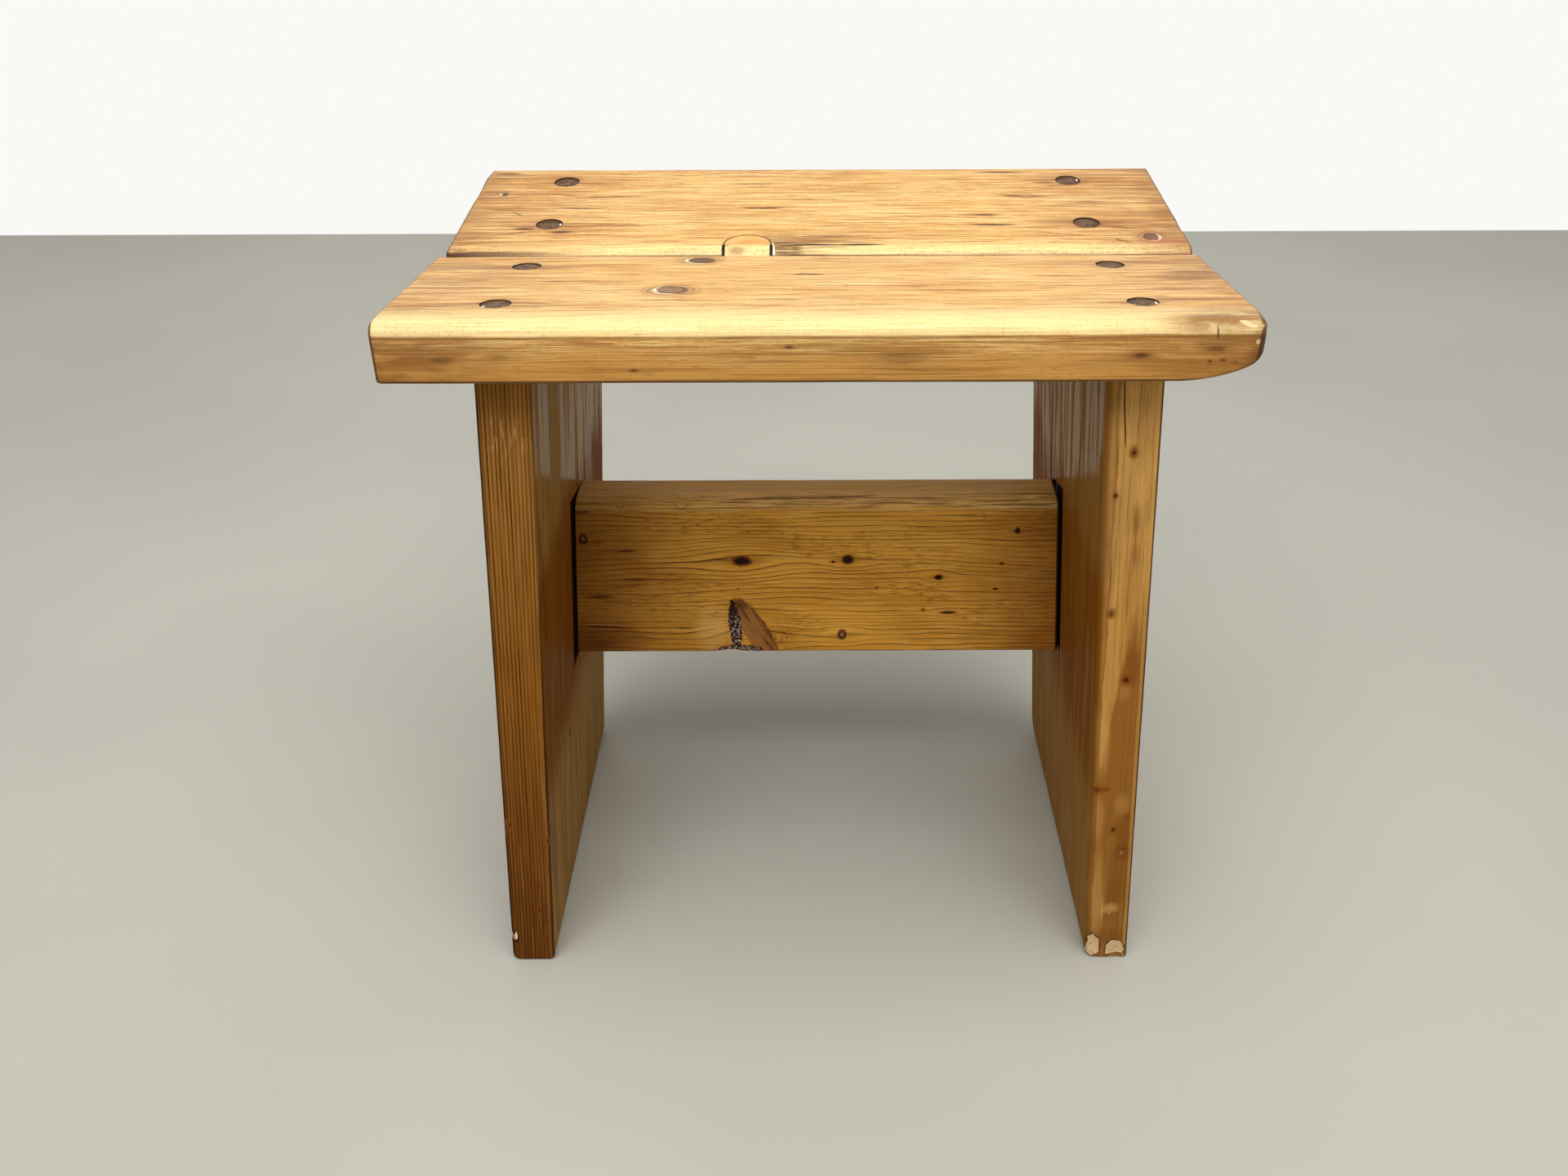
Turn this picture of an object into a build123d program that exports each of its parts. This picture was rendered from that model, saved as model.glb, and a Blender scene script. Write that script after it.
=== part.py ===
# Pine stool: two seat boards in a shallow V, two leaning plank legs and a stretcher, all dowelled.
# Millimetres. +Z is up, +X is to the right seen from the front, +Y points to the rear.
# The origin is on the floor, at the middle of the stool's footprint box.

import os
from math import cos, radians, sin, tan

from build123d import *

# Seat boards
seat_centre_height = 446
seat_gap = 5
seat_tilt_angle = 5.4
board_thickness = 29
rear_board_length = 420
rear_board_width = 128
front_board_extra_length = 3
front_board_width = 134
rear_board_shift = 1
gap_edge_radius = 9
hidden_gap_edge_radius = 3
front_edge_radius = 7
rear_edge_radius = 3.5
under_edge_radius = 2.5
board_end_radius = 2

# Worn right front corner of the front board
worn_corner_radius = 11
wane_length = 48
wane_depth_back = 70
wane_height = 9

# Legs, each a panel of two planks
leg_thickness = 28
leg_lean_angle = 5.2
leg_end_inset = 69
leg_front_inset = 19
leg_rear_inset = 14
leg_seam_offset = 4.5
leg_arris_radius = 2.5
worn_arris_radius = 5
worn_foot_radius = 14

# Stretcher
stretcher_thickness = 28
stretcher_height = 119
stretcher_floor_clearance = 166
stretcher_front_radius = 6
stretcher_arris_radius = 1.5
stretcher_end_bevel = 1.2

# Dowels through the seat into the legs
seat_dowel_diameter = 15
seat_dowel_length = 75
seat_dowel_leg_inset = 16
front_outer_row_inset = 18.5
front_inner_row_offset = 27
rear_inner_row_offset = 42
rear_outer_row_inset = 10.5

# Dowels through the legs into the stretcher
stretcher_dowel_diameter = 15
stretcher_dowel_length = 70
stretcher_dowel_spacing = 56

# Hidden dowels in the edge joints of the legs
edge_dowel_diameter = 8
edge_dowel_length = 40
edge_dowel_foot_inset = 70
edge_dowel_top_inset = 76

# Half-round patch let into the rear board
patch_radius = 13.5
patch_reach = 10
patch_depth = 12
patch_place = -40

# Fits
dowel_clearance = 0.1
dowel_end_clearance = 0.2
dowel_sink = 0.5
patch_clearance = 0.25
cut_overrun = 60

tilt = radians(seat_tilt_angle)
lean = radians(leg_lean_angle)
sides = {"left": -1, "right": 1}

# The front board is a little longer
front_board_length = rear_board_length + front_board_extra_length

# The gap lies where the boards reach equally far to the front and to the rear of the origin
under_reach = board_thickness * sin(tilt)
front_reach = seat_gap / 2 + front_board_width * cos(tilt) + under_reach
rear_reach = seat_gap / 2 + rear_board_width * cos(tilt) + under_reach
gap_y = (front_reach - rear_reach) / 2
front_gap_y = gap_y - seat_gap / 2
rear_gap_y = gap_y + seat_gap / 2

# Upper faces of the boards, with x along the stool and y to the rear
front_top = Plane((0, front_gap_y, seat_centre_height), x_dir=(1, 0, 0), z_dir=(0, sin(tilt), cos(tilt)))
rear_top = Plane((0, rear_gap_y, seat_centre_height), x_dir=(1, 0, 0), z_dir=(0, -sin(tilt), cos(tilt)))

# Legs, set in from the ends of the rear board
leg_top_half_span = rear_board_length / 2 - leg_end_inset
leg_front_y = gap_y - front_reach + leg_front_inset
leg_rear_y = gap_y + rear_reach - leg_rear_inset
leg_seam_y = gap_y + leg_seam_offset
leg_top_centre = seat_centre_height - seat_gap / 2 * tan(tilt) - board_thickness / cos(tilt)
foot_half_span = leg_top_half_span + leg_top_centre * tan(lean)
foot_half_width = foot_half_span + leg_thickness / cos(lean)

# Seat dowels, two rows in each board
seat_dowel_half_span = leg_top_half_span + seat_dowel_leg_inset
front_rows = [leg_front_y + front_outer_row_inset, gap_y - front_inner_row_offset]
rear_rows = [gap_y + rear_inner_row_offset, leg_rear_y - rear_outer_row_inset]

# The stretcher's front face is flush with the seam of the legs
stretcher_centre_y = leg_seam_y + stretcher_thickness / 2
stretcher_centre_height = stretcher_floor_clearance + stretcher_height / 2
stretcher_dowel_heights = [
    stretcher_centre_height - stretcher_dowel_spacing / 2,
    stretcher_centre_height + stretcher_dowel_spacing / 2,
]
edge_dowel_heights = [
    edge_dowel_foot_inset,
    stretcher_centre_height,
    leg_top_centre - edge_dowel_top_inset,
]


def leg_top_height(y):
    """Height of the boards' undersides above a point of the floor."""
    return leg_top_centre + abs(y - gap_y) * tan(tilt)


def seat_top_height(y):
    """Height of the seat's upper face at a dowel row."""
    return seat_centre_height + (abs(y - gap_y) - seat_gap / 2) * tan(tilt)


def leg_face(side, depth):
    """Plane parallel to a leg's inner face, so far into the leg, facing outward."""
    face = Plane((side * foot_half_span, 0, 0), x_dir=(0, side, 0), z_dir=(side * cos(lean), 0, sin(lean)))
    return face.offset(depth)


def inner_face_x(side, z):
    """Where a leg's inner face stands at a height."""
    return side * (foot_half_span - z * tan(lean))


def save(part, name):
    """Label a finished piece and write it under its name."""
    part.label = name
    export_step(part, f"parts/{name}.step")


def board_blank(gap_edge_y, direction, middle, length, width, near_radius, far_radius):
    """Seat board that rises away from the gap, in the builder that is open."""
    start_x = middle - direction * length / 2
    end_plane = Plane(
        (start_x, gap_edge_y, seat_centre_height),
        x_dir=(0, direction * cos(tilt), sin(tilt)),
        z_dir=(direction, 0, 0),
    )
    with BuildSketch(end_plane) as section:
        Rectangle(width, board_thickness, align=(Align.MIN, Align.MAX))
        fillet(section.vertices().group_by(Axis.Y)[0], under_edge_radius)
        fillet(section.vertices().group_by(Axis.Y)[-1].sort_by(Axis.X)[0], near_radius)
        fillet(section.vertices().group_by(Axis.Y)[-1].sort_by(Axis.X)[-1], far_radius)
    extrude(section.sketch, amount=length)


def front_board_blank():
    """Front board with square ends."""
    size = (front_board_length, front_board_width)
    board_blank(front_gap_y, -1, 0, *size, hidden_gap_edge_radius, front_edge_radius)


def rear_board_blank():
    """Rear board with square ends."""
    size = (rear_board_length, rear_board_width)
    board_blank(rear_gap_y, 1, rear_board_shift, *size, gap_edge_radius, rear_edge_radius)


def round_board_ends():
    """Round the edges of both end faces of the board that is open."""
    fillet(faces().filter_by(Axis.X).edges(), board_end_radius)


def drill_dowel_holes(rows):
    """Upright holes for the seat dowels, through the board that is open."""
    with BuildSketch(Plane.XY) as holes:
        with Locations([(side * seat_dowel_half_span, y) for side in sides.values() for y in rows]):
            Circle(seat_dowel_diameter / 2 + dowel_clearance)
    extrude(holes.sketch, amount=seat_centre_height + cut_overrun, mode=Mode.SUBTRACT)


def patch_outline(radius):
    """Half-round that runs out through the rear board's front edge, in the sketch that is open."""
    with Locations((patch_place, patch_reach)):
        Circle(radius)
        Rectangle(2 * radius, patch_reach + cut_overrun, align=(Align.CENTER, Align.MAX))


def leg_plank_blank(side, front_y, rear_y, foot_radius):
    """Leaning plank with a flat foot and a top cut to the seat's underside, in the open builder."""
    with BuildSketch(Plane.YZ) as outline:
        with BuildLine():
            points = [(front_y, 0), (rear_y, 0), (rear_y, leg_top_height(rear_y))]
            if front_y < gap_y < rear_y:
                points.append((gap_y, leg_top_centre))
            points.append((front_y, leg_top_height(front_y)))
            Polyline(points, close=True)
        make_face()
        if foot_radius:
            fillet(outline.vertices().group_by(Axis.Y)[0].sort_by(Axis.X)[-1], foot_radius)
    extrude(outline.sketch, amount=side * (foot_half_width + cut_overrun))
    split(bisect_by=leg_face(side, 0), keep=Keep.TOP)
    split(bisect_by=leg_face(side, leg_thickness), keep=Keep.BOTTOM)


def front_arris(plank, side, on_inner_face):
    """Long front edge of a leg plank."""
    grain = Axis((0, 0, 0), (side * sin(lean), 0, -cos(lean)))
    front_edges = plank.edges().filter_by(grain).group_by(Axis.Y)[0].sort_by(Axis.X)
    return front_edges[0] if on_inner_face == (side > 0) else front_edges[-1]


def rear_arrises(plank, side):
    """Both long rear edges of a leg plank."""
    grain = Axis((0, 0, 0), (side * sin(lean), 0, -cos(lean)))
    return plank.edges().filter_by(grain).group_by(Axis.Y)[-1]


def edge_dowel_place(side, z):
    """Middle of an edge dowel, which lies level across the seam inside the leg."""
    middle_x = inner_face_x(side, z) + side * leg_thickness / 2 / cos(lean)
    return Location((middle_x, leg_seam_y, z), (90, 0, 0))


def drill_leg(side, rows):
    """Holes for the dowels that a leg plank takes from the seat and from its edge joint."""
    depth = seat_dowel_length + dowel_end_clearance
    for y in rows:
        with Locations((side * seat_dowel_half_span, y, seat_top_height(y))):
            Hole(seat_dowel_diameter / 2 + dowel_clearance, depth=depth)
    for z in edge_dowel_heights:
        with Locations(edge_dowel_place(side, z)):
            Cylinder(
                edge_dowel_diameter / 2 + dowel_clearance,
                edge_dowel_length + 2 * dowel_end_clearance,
                mode=Mode.SUBTRACT,
            )


def stretcher_dowel_end_x(side, z):
    """Inner end of a stretcher dowel."""
    return inner_face_x(side, z) + side * leg_thickness / cos(lean) - side * stretcher_dowel_length


def drill_stretcher_dowels(side):
    """Level holes for the stretcher dowels of one side, in the open builder."""
    for z in stretcher_dowel_heights:
        hole_end_x = stretcher_dowel_end_x(side, z) - side * dowel_end_clearance
        with BuildSketch(Plane.YZ.offset(hole_end_x)) as hole:
            with Locations((stretcher_centre_y, z)):
                Circle(stretcher_dowel_diameter / 2 + dowel_clearance)
        extrude(hole.sketch, amount=side * (stretcher_dowel_length + cut_overrun), mode=Mode.SUBTRACT)


os.makedirs("parts", exist_ok=True)

# Front seat board, its right front corner rounded and its underside worn away there
with BuildPart() as seat_board_front:
    front_board_blank()
    with BuildSketch(front_top) as front_plan:
        Rectangle(front_board_length, front_board_width, align=(Align.CENTER, Align.MAX))
        fillet(front_plan.vertices().group_by(Axis.Y)[0].sort_by(Axis.X)[-1], worn_corner_radius)
    extrude(amount=-board_thickness, mode=Mode.INTERSECT)
    wane_start = front_top.from_local_coords(
        (front_board_length / 2 - wane_length, -front_board_width, -board_thickness)
    )
    wane_end = front_top.from_local_coords(
        (front_board_length / 2, -front_board_width, wane_height - board_thickness)
    )
    wane_back = front_top.from_local_coords(
        (front_board_length / 2, wane_depth_back - front_board_width, -board_thickness)
    )
    wane_normal = (wane_end - wane_start).cross(wane_back - wane_start)
    split(bisect_by=Plane(wane_start, x_dir=wane_end - wane_start, z_dir=wane_normal), keep=Keep.TOP)
    round_board_ends()
    drill_dowel_holes(front_rows)
save(seat_board_front.part, "seat_board_front")

# Rear seat board, with its pocket for the patch
with BuildPart() as seat_board_rear:
    rear_board_blank()
    round_board_ends()
    drill_dowel_holes(rear_rows)
    with BuildSketch(rear_top):
        patch_outline(patch_radius)
    extrude(amount=-patch_depth, mode=Mode.SUBTRACT)
save(seat_board_rear.part, "seat_board_rear")

# Patch in the rear board's front edge, cut to the board's own rounding
with BuildPart() as edge_patch:
    rear_board_blank()
    with BuildSketch(rear_top):
        patch_outline(patch_radius - patch_clearance)
    extrude(amount=-patch_depth, mode=Mode.INTERSECT)
save(edge_patch.part, "edge_patch")

for side_name, side in sides.items():

    # Front plank of the leg
    with BuildPart() as front_plank:
        leg_plank_blank(side, leg_front_y, leg_seam_y, 0)
        fillet(front_arris(front_plank, side, False), leg_arris_radius)
        fillet(front_arris(front_plank, side, True), worn_arris_radius if side > 0 else leg_arris_radius)
        drill_leg(side, front_rows)
    save(front_plank.part, f"{side_name}_leg_front_plank")

    # Rear plank of the leg, which carries the stretcher
    with BuildPart() as rear_plank:
        leg_plank_blank(side, leg_seam_y, leg_rear_y, worn_foot_radius if side > 0 else 0)
        fillet(rear_arrises(rear_plank, side), leg_arris_radius)
        drill_leg(side, rear_rows)
        drill_stretcher_dowels(side)
    save(rear_plank.part, f"{side_name}_leg_rear_plank")

# Stretcher, its ends cut to the lean of the legs
with BuildPart() as stretcher:
    with BuildSketch(Plane.YZ) as stretcher_section:
        with Locations((stretcher_centre_y, stretcher_centre_height)):
            Rectangle(stretcher_thickness, stretcher_height)
        fillet(stretcher_section.vertices().group_by(Axis.Y)[0], stretcher_arris_radius)
        fillet(stretcher_section.vertices().group_by(Axis.Y)[-1].sort_by(Axis.X)[0], stretcher_front_radius)
        fillet(stretcher_section.vertices().group_by(Axis.Y)[-1].sort_by(Axis.X)[-1], stretcher_arris_radius)
    extrude(amount=foot_half_width, both=True)
    for side in sides.values():
        split(bisect_by=leg_face(side, 0), keep=Keep.BOTTOM)
    end_faces = stretcher.faces().sort_by(Axis.X)
    chamfer(end_faces[0].edges() + end_faces[-1].edges(), stretcher_end_bevel)
    for side in sides.values():
        drill_stretcher_dowels(side)
save(stretcher.part, "stretcher")

# Dowels through the seat boards, their ends cut along the seat and sunk a little
seat_dowel_places = [
    (side * seat_dowel_half_span, y, top)
    for top, rows in ((front_top, front_rows), (rear_top, rear_rows))
    for y in rows
    for side in sides.values()
]
for number, (x, y, top) in enumerate(seat_dowel_places, start=1):
    with BuildPart() as seat_dowel:
        with BuildSketch(Plane.XY.offset(seat_top_height(y) - seat_dowel_length)):
            with Locations((x, y)):
                Circle(seat_dowel_diameter / 2)
        extrude(amount=seat_dowel_length + cut_overrun)
        split(bisect_by=top.offset(-dowel_sink), keep=Keep.BOTTOM)
    save(seat_dowel.part, f"seat_dowel_{number}")

# Dowels through the legs into the stretcher, their outer ends cut along the leg
stretcher_dowel_places = [(side, z) for side in sides.values() for z in stretcher_dowel_heights]
for number, (side, z) in enumerate(stretcher_dowel_places, start=1):
    with BuildPart() as stretcher_dowel:
        with BuildSketch(Plane.YZ.offset(stretcher_dowel_end_x(side, z))):
            with Locations((stretcher_centre_y, z)):
                Circle(stretcher_dowel_diameter / 2)
        extrude(amount=side * (stretcher_dowel_length + cut_overrun))
        split(bisect_by=leg_face(side, leg_thickness - dowel_sink), keep=Keep.BOTTOM)
    save(stretcher_dowel.part, f"stretcher_dowel_{number}")

# Hidden dowels in the edge joints of the leg panels
for side_name, side in sides.items():
    for number, z in enumerate(edge_dowel_heights, start=1):
        with BuildPart() as edge_dowel:
            with Locations(edge_dowel_place(side, z)):
                Cylinder(edge_dowel_diameter / 2, edge_dowel_length)
        save(edge_dowel.part, f"{side_name}_leg_edge_dowel_{number}")
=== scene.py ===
"""Pine stool: the finish of its boards, legs, stretcher and dowels, built around the fixed frame.

Sizes are millimetres, each in the frame of the piece that carries it: along the grain, across
it and through the thickness. They become metres when a mesh or the camera is placed. The
stage and its lamps are in metres.
"""

from math import cos, hypot, pi, radians, sin, tan

import bpy
from bpy.props import FloatProperty, FloatVectorProperty, PointerProperty
from bpy.types import Operator, Panel, PropertyGroup
from mathutils import Matrix, Vector, noise


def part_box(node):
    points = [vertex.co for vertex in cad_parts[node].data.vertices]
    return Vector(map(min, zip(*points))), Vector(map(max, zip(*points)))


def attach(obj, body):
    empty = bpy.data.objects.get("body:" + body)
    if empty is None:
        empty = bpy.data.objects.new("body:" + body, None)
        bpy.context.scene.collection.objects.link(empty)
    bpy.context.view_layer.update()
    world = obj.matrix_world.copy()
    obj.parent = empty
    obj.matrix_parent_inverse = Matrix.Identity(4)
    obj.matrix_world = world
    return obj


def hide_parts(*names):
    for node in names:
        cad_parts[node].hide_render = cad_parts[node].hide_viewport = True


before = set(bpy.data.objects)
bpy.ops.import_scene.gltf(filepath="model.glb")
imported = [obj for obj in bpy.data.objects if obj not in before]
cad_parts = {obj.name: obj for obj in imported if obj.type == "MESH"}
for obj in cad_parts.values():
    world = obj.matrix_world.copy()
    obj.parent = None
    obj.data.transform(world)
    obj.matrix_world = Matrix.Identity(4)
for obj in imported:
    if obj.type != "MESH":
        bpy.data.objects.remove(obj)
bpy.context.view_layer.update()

bl_info = {
    "name": "Pine Stool",
    "version": (1, 0, 0),
    "blender": (4, 5, 0),
    "location": "3D View > Sidebar > Pine Stool",
    "description": "Builds a worn, dowelled pine stool whose two seat boards meet in a shallow V",
    "category": "Add Mesh",
}

MM = 0.001
ORIGIN = Vector((0, 0, 0))
X_AXIS = Vector((1, 0, 0))
Y_AXIS = Vector((0, 1, 0))
Z_AXIS = Vector((0, 0, 1))
SIDES = {"left": -1, "right": 1}

# Construction, as in the solids
seat_tilt = radians(5.4)
leg_lean = radians(5.2)
seat_centre_height = 446
seat_gap = 5
board_thickness = 29
front_board_width = 134
rear_board_width = 128
leg_thickness = 28
dowel_radius = 7.5
dowel_length = 75
dowel_sink = 0.5
patch_radius = 13.5
patch_joint_width = 0.3
patch_reach = 10
patch_depth = 12
patch_place = -40
worn_edge_depth = 0.1
worn_corner_length = 41
worn_corner_rise = 15
end_taper = 2.2
groove_reach = (165.5, 285.6)
groove_width = {-1: 23, 1: 9}
groove_depth = {-1: 2, 1: 1.4}
groove_front_rise = (5, 12)
left_end_reach = 1.7
streak_depth = 6
endless = 100000
leg_seam_play = 0.05

# Fineness of the meshes
plank_mesh_step = 3
patch_mesh_step = 1.5
closest_lines = 0.05
crowding_share = 0.45
dowel_sides = 48
patch_arc_steps = 28
shading_angle = radians(38)

# The photographed view
picture_width = 1920
picture_height = 1440
picture_centre_x = 997.7
picture_centre_y = 706.8
focal_length_pixels = 1502
camera_place = Vector((-2.9, -668.5, 669.9))
camera_pitch = radians(33.24)
camera_yaw = radians(0.035)
camera_roll = radians(-0.18)
sensor_width = 36


def srgb(red, green, blue):
    """Colour as it is mixed on a screen, from 0 to 255, turned into the shader's own scale."""
    shares = [channel / 255 for channel in (red, green, blue)]
    return [share / 12.92 if share < 0.04045 else ((share + 0.055) / 1.055) ** 2.4 for share in shares]


def node_box(node):
    """Lowest and highest corner of a solid, in millimetres."""
    low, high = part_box(node)
    return low / MM, high / MM


def node_middle(node):
    """Middle of a solid's box, in millimetres."""
    low, high = node_box(node)
    return (low + high) / 2


def board_frame(origin, length_axis, width_axis):
    """Frame of a board: X along its length, Y across it and Z out of its face."""
    face_axis = length_axis.cross(width_axis)
    turned = Matrix((length_axis, width_axis, face_axis)).transposed().to_4x4()
    return Matrix.Translation(origin) @ turned


def blend_share(value, low, high):
    """0 below low and 1 above high, with a smooth rise between. Low may be the larger one."""
    share = min(max((value - low) / (high - low), 0), 1)
    return share * share * (3 - 2 * share)


# Frames of the boards
gap_middle = (front_board_width - rear_board_width) / 2 * cos(seat_tilt)


def seat_frame(side):
    """Frame of a seat board, with its edge at the gap: -1 for the front board and 1 for the rear one."""
    edge = Vector((0, gap_middle + side * seat_gap / 2, seat_centre_height))
    return board_frame(edge, X_AXIS, Vector((0, cos(seat_tilt), side * sin(seat_tilt))))


front_frame = seat_frame(-1)
rear_frame = seat_frame(1)
leg_low, leg_high = node_box("right_leg_front_plank")
seam_y = leg_high.y
leg_front_y = leg_low.y
leg_rear_y = node_box("right_leg_rear_plank")[1].y
foot_half_span = leg_high.x - leg_thickness / cos(leg_lean)
leg_top_centre = seat_centre_height - seat_gap / 2 * tan(seat_tilt) - board_thickness / cos(seat_tilt)


def side_of(place):
    """1 for a place on the right of the stool and -1 for one on the left."""
    return 1 if place.x > 0 else -1


def leg_frame(side):
    """Frame of a leg: X up the grain, Y to the rear, and the inner face at Z = 0."""
    up_the_leg = Vector((-side * sin(leg_lean), 0, cos(leg_lean)))
    return board_frame(Vector((side * foot_half_span, 0, 0)), up_the_leg, Y_AXIS)


stretcher_low, stretcher_high = node_box("stretcher")
stretcher_frame = board_frame(Vector((0, seam_y, 0)), X_AXIS, Z_AXIS)
stretcher_thickness = stretcher_high.y - stretcher_low.y


# Meshes

# Where the lines of a mesh cross a rounded edge, as shares of its radius
ARC_SHARES = [1 - tan(pi / 4 * step / 4) for step in (4, 3, 2, 1, 0)]


def grid_places(low, high, step, low_radii=(), high_radii=()):
    """Places from low to high about a step apart, and closer together where an edge is rounded."""
    places = {low, high}
    for radius in low_radii:
        places.update(low + radius * share for share in ARC_SHARES)
    for radius in high_radii:
        places.update(high - radius * share for share in ARC_SHARES)
    count = max(round((high - low) / step), 1)
    between = [low + (high - low) * index / count for index in range(1, count)]
    fixed = sorted(places)
    clear = crowding_share * step
    places.update(place for place in between if min(abs(place - other) for other in fixed) > clear)
    merged = []
    for place in sorted(places):
        if not merged or place - merged[-1] > closest_lines:
            merged.append(place)
    merged[-1] = high
    return merged


def hull_grid(lines):
    """Closed skin of quads over a block that is divided at the given places along three directions."""
    points = []
    numbers = {}
    quads = []
    last = [len(places) - 1 for places in lines]

    def number(key):
        if key not in numbers:
            numbers[key] = len(points)
            points.append(tuple(lines[axis][key[axis]] for axis in range(3)))
        return numbers[key]

    for axis in range(3):
        first, second = (axis + 1) % 3, (axis + 2) % 3
        for layer in (0, last[axis]):
            for i in range(last[first]):
                for j in range(last[second]):
                    corners = [(i, j), (i + 1, j), (i + 1, j + 1), (i, j + 1)]
                    if layer == 0:
                        corners.reverse()
                    quad = []
                    for p, q in corners:
                        key = [0, 0, 0]
                        key[axis], key[first], key[second] = layer, p, q
                        quad.append(number(tuple(key)))
                    quads.append(quad)
    return points, quads


def uneven(along, across, through, seed, depth):
    """Depth of the planing marks and shrinkage that keep a board from being dead flat."""
    slow = noise.noise(Vector((along / 85 + seed, across / 26, through / 26)))
    quick = noise.noise(Vector((along / 30, across / 5 + seed, through / 5)))
    return depth * (slow + 0.5) + 0.3 * depth * (quick + 0.5)


def edge_wave(along, across_side, through_side, length, seed=0):
    """From 0 to 1, how worn a long edge is at a place along it. Each edge has its own pattern."""
    return 0.5 + 0.5 * noise.noise(Vector((along / length + seed, across_side * 3, through_side * 5)))


def end_wave(across, end, seed):
    """From 0 to 0.4 mm, how much more an end's edge is worn at a place across it."""
    return 0.4 * abs(noise.noise(Vector((across / 12, end, seed))))


def dent(point, middle, size, depth):
    """Depth of a shallow oval dent at a point."""
    reach = hypot(*[(p - m) / s for p, m, s in zip(point, middle, size)])
    return depth * (1 - min(reach, 1) ** 2) ** 2


class Plank:
    """Board with rounded edges, worn and dented, described by a few functions of its own place.

    The line radii say how far from each side of the block its mesh has to be fine. Wear is the
    depth by which a point of the skin lies inward, and bent moves a point that is worn already.
    """

    def __init__(self, name, turned, limits, line_radii, edge_radius, end_radius, wear, bent=None):
        self.name = name
        self.frame = turned
        self.limits = limits
        self.line_radii = line_radii
        self.edge_radius = edge_radius
        self.end_radius = end_radius
        self.wear = wear
        self.bent = bent
        self.step = plank_mesh_step

    def worn_point(self, sharp):
        """Where a point on the sharp block lies on the rounded and worn board."""
        near_side = []
        depth = []
        for place, (low, high) in zip(sharp, self.limits):
            near_side.append(1 if place - low < high - place else -1)
            depth.append(min(place - low, high - place))
        along, across, through = sharp
        radius = self.edge_radius(along, -near_side[1], -near_side[2])
        pull = [max(radius - depth[1], 0), max(radius - depth[2], 0)]
        skin_depth = min(depth[1], depth[2])
        if pull[0] > 0 and pull[1] > 0:
            length = hypot(*pull)
            share = max(pull) / length
            inward = (near_side[1] * pull[0] / length, near_side[2] * pull[1] / length)
            across += near_side[1] * (pull[0] - pull[0] * share)
            through += near_side[2] * (pull[1] - pull[1] * share)
        elif depth[1] < depth[2]:
            inward = (near_side[1], 0)
        else:
            inward = (0, near_side[2])
        end_radius = self.end_radius(-near_side[0], sharp[1])
        skin_pull = max(end_radius - skin_depth, 0)
        end_pull = max(end_radius - depth[0], 0)
        normal = (0, inward[0], inward[1])
        if skin_pull > 0 and end_pull > 0:
            length = hypot(skin_pull, end_pull)
            share = max(skin_pull, end_pull) / length
            skin_move = skin_pull - skin_pull * share
            along += near_side[0] * (end_pull - end_pull * share)
            across += inward[0] * skin_move
            through += inward[1] * skin_move
            normal = (
                near_side[0] * end_pull / length,
                inward[0] * skin_pull / length,
                inward[1] * skin_pull / length,
            )
        elif skin_pull == 0 and end_pull > 0:
            normal = (near_side[0], 0, 0)
        worn = self.wear(*sharp)
        place = [p + n * worn for p, n in zip((along, across, through), normal)]
        return self.bent(*place) if self.bent else place

    def build(self):
        """The board as a new object in the frame."""
        lines = []
        for (low, high), (low_radii, high_radii) in zip(self.limits, self.line_radii):
            lines.append(grid_places(low, high, self.step, low_radii, high_radii))
        points, quads = hull_grid(lines)
        worn = [self.frame @ Vector(self.worn_point(point)) * MM for point in points]
        return new_piece(self.name, worn, quads)


def new_piece(name, points, faces):
    """Object made of points in metres and faces, linked to the scene."""
    mesh = bpy.data.meshes.new(name)
    mesh.from_pydata([tuple(point) for point in points], [], faces)
    mesh.update()
    piece = bpy.data.objects.new(name, mesh)
    bpy.context.scene.collection.objects.link(piece)
    return piece


def smooth(piece):
    """Shade smooth but for true edges."""
    piece.data.shade_smooth()
    piece.data.set_sharp_from_angle(angle=shading_angle)


def cut(piece, cutter, operation="DIFFERENCE"):
    """Cut one mesh with another, which is used up."""
    modifier = piece.modifiers.new("cut", "BOOLEAN")
    modifier.operation = operation
    modifier.solver = "EXACT"
    modifier.object = cutter
    graph = bpy.context.evaluated_depsgraph_get()
    carved = bpy.data.meshes.new_from_object(piece.evaluated_get(graph))
    piece.modifiers.clear()
    blank = piece.data
    piece.data = carved
    carved.name = piece.name
    bpy.data.meshes.remove(blank)
    cutter_mesh = cutter.data
    bpy.data.objects.remove(cutter)
    bpy.data.meshes.remove(cutter_mesh)
    return piece


def round_bar(middle, axis, end_normal, rings, dish=None):
    """Points and faces of a turned bar. Each ring is (depth below the end face, radius)."""
    across = axis.orthogonal().normalized()
    beside = axis.cross(across)
    points = []
    faces = []
    for depth, radius in rings:
        for index in range(dowel_sides):
            angle = 2 * pi * index / dowel_sides
            offset = (across * cos(angle) + beside * sin(angle)) * radius
            slope = -offset.dot(end_normal) / axis.dot(end_normal)
            sunk = depth + (dish(radius, angle) if dish else 0)
            points.append((middle + offset + axis * (slope - sunk)) * MM)
    for ring in range(len(rings) - 1):
        start, stop = ring * dowel_sides, (ring + 1) * dowel_sides
        for index in range(dowel_sides):
            after = (index + 1) % dowel_sides
            faces.append([start + index, stop + index, stop + after, start + after])
    for ring, order in ((0, 1), (len(rings) - 1, -1)):
        start = ring * dowel_sides
        centre = len(points)
        points.append(sum(points[start:start + dowel_sides], ORIGIN) / dowel_sides)
        for index in range(dowel_sides):
            triangle = [start + index, start + (index + 1) % dowel_sides, centre]
            faces.append(triangle[::order])
    return points, faces


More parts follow.
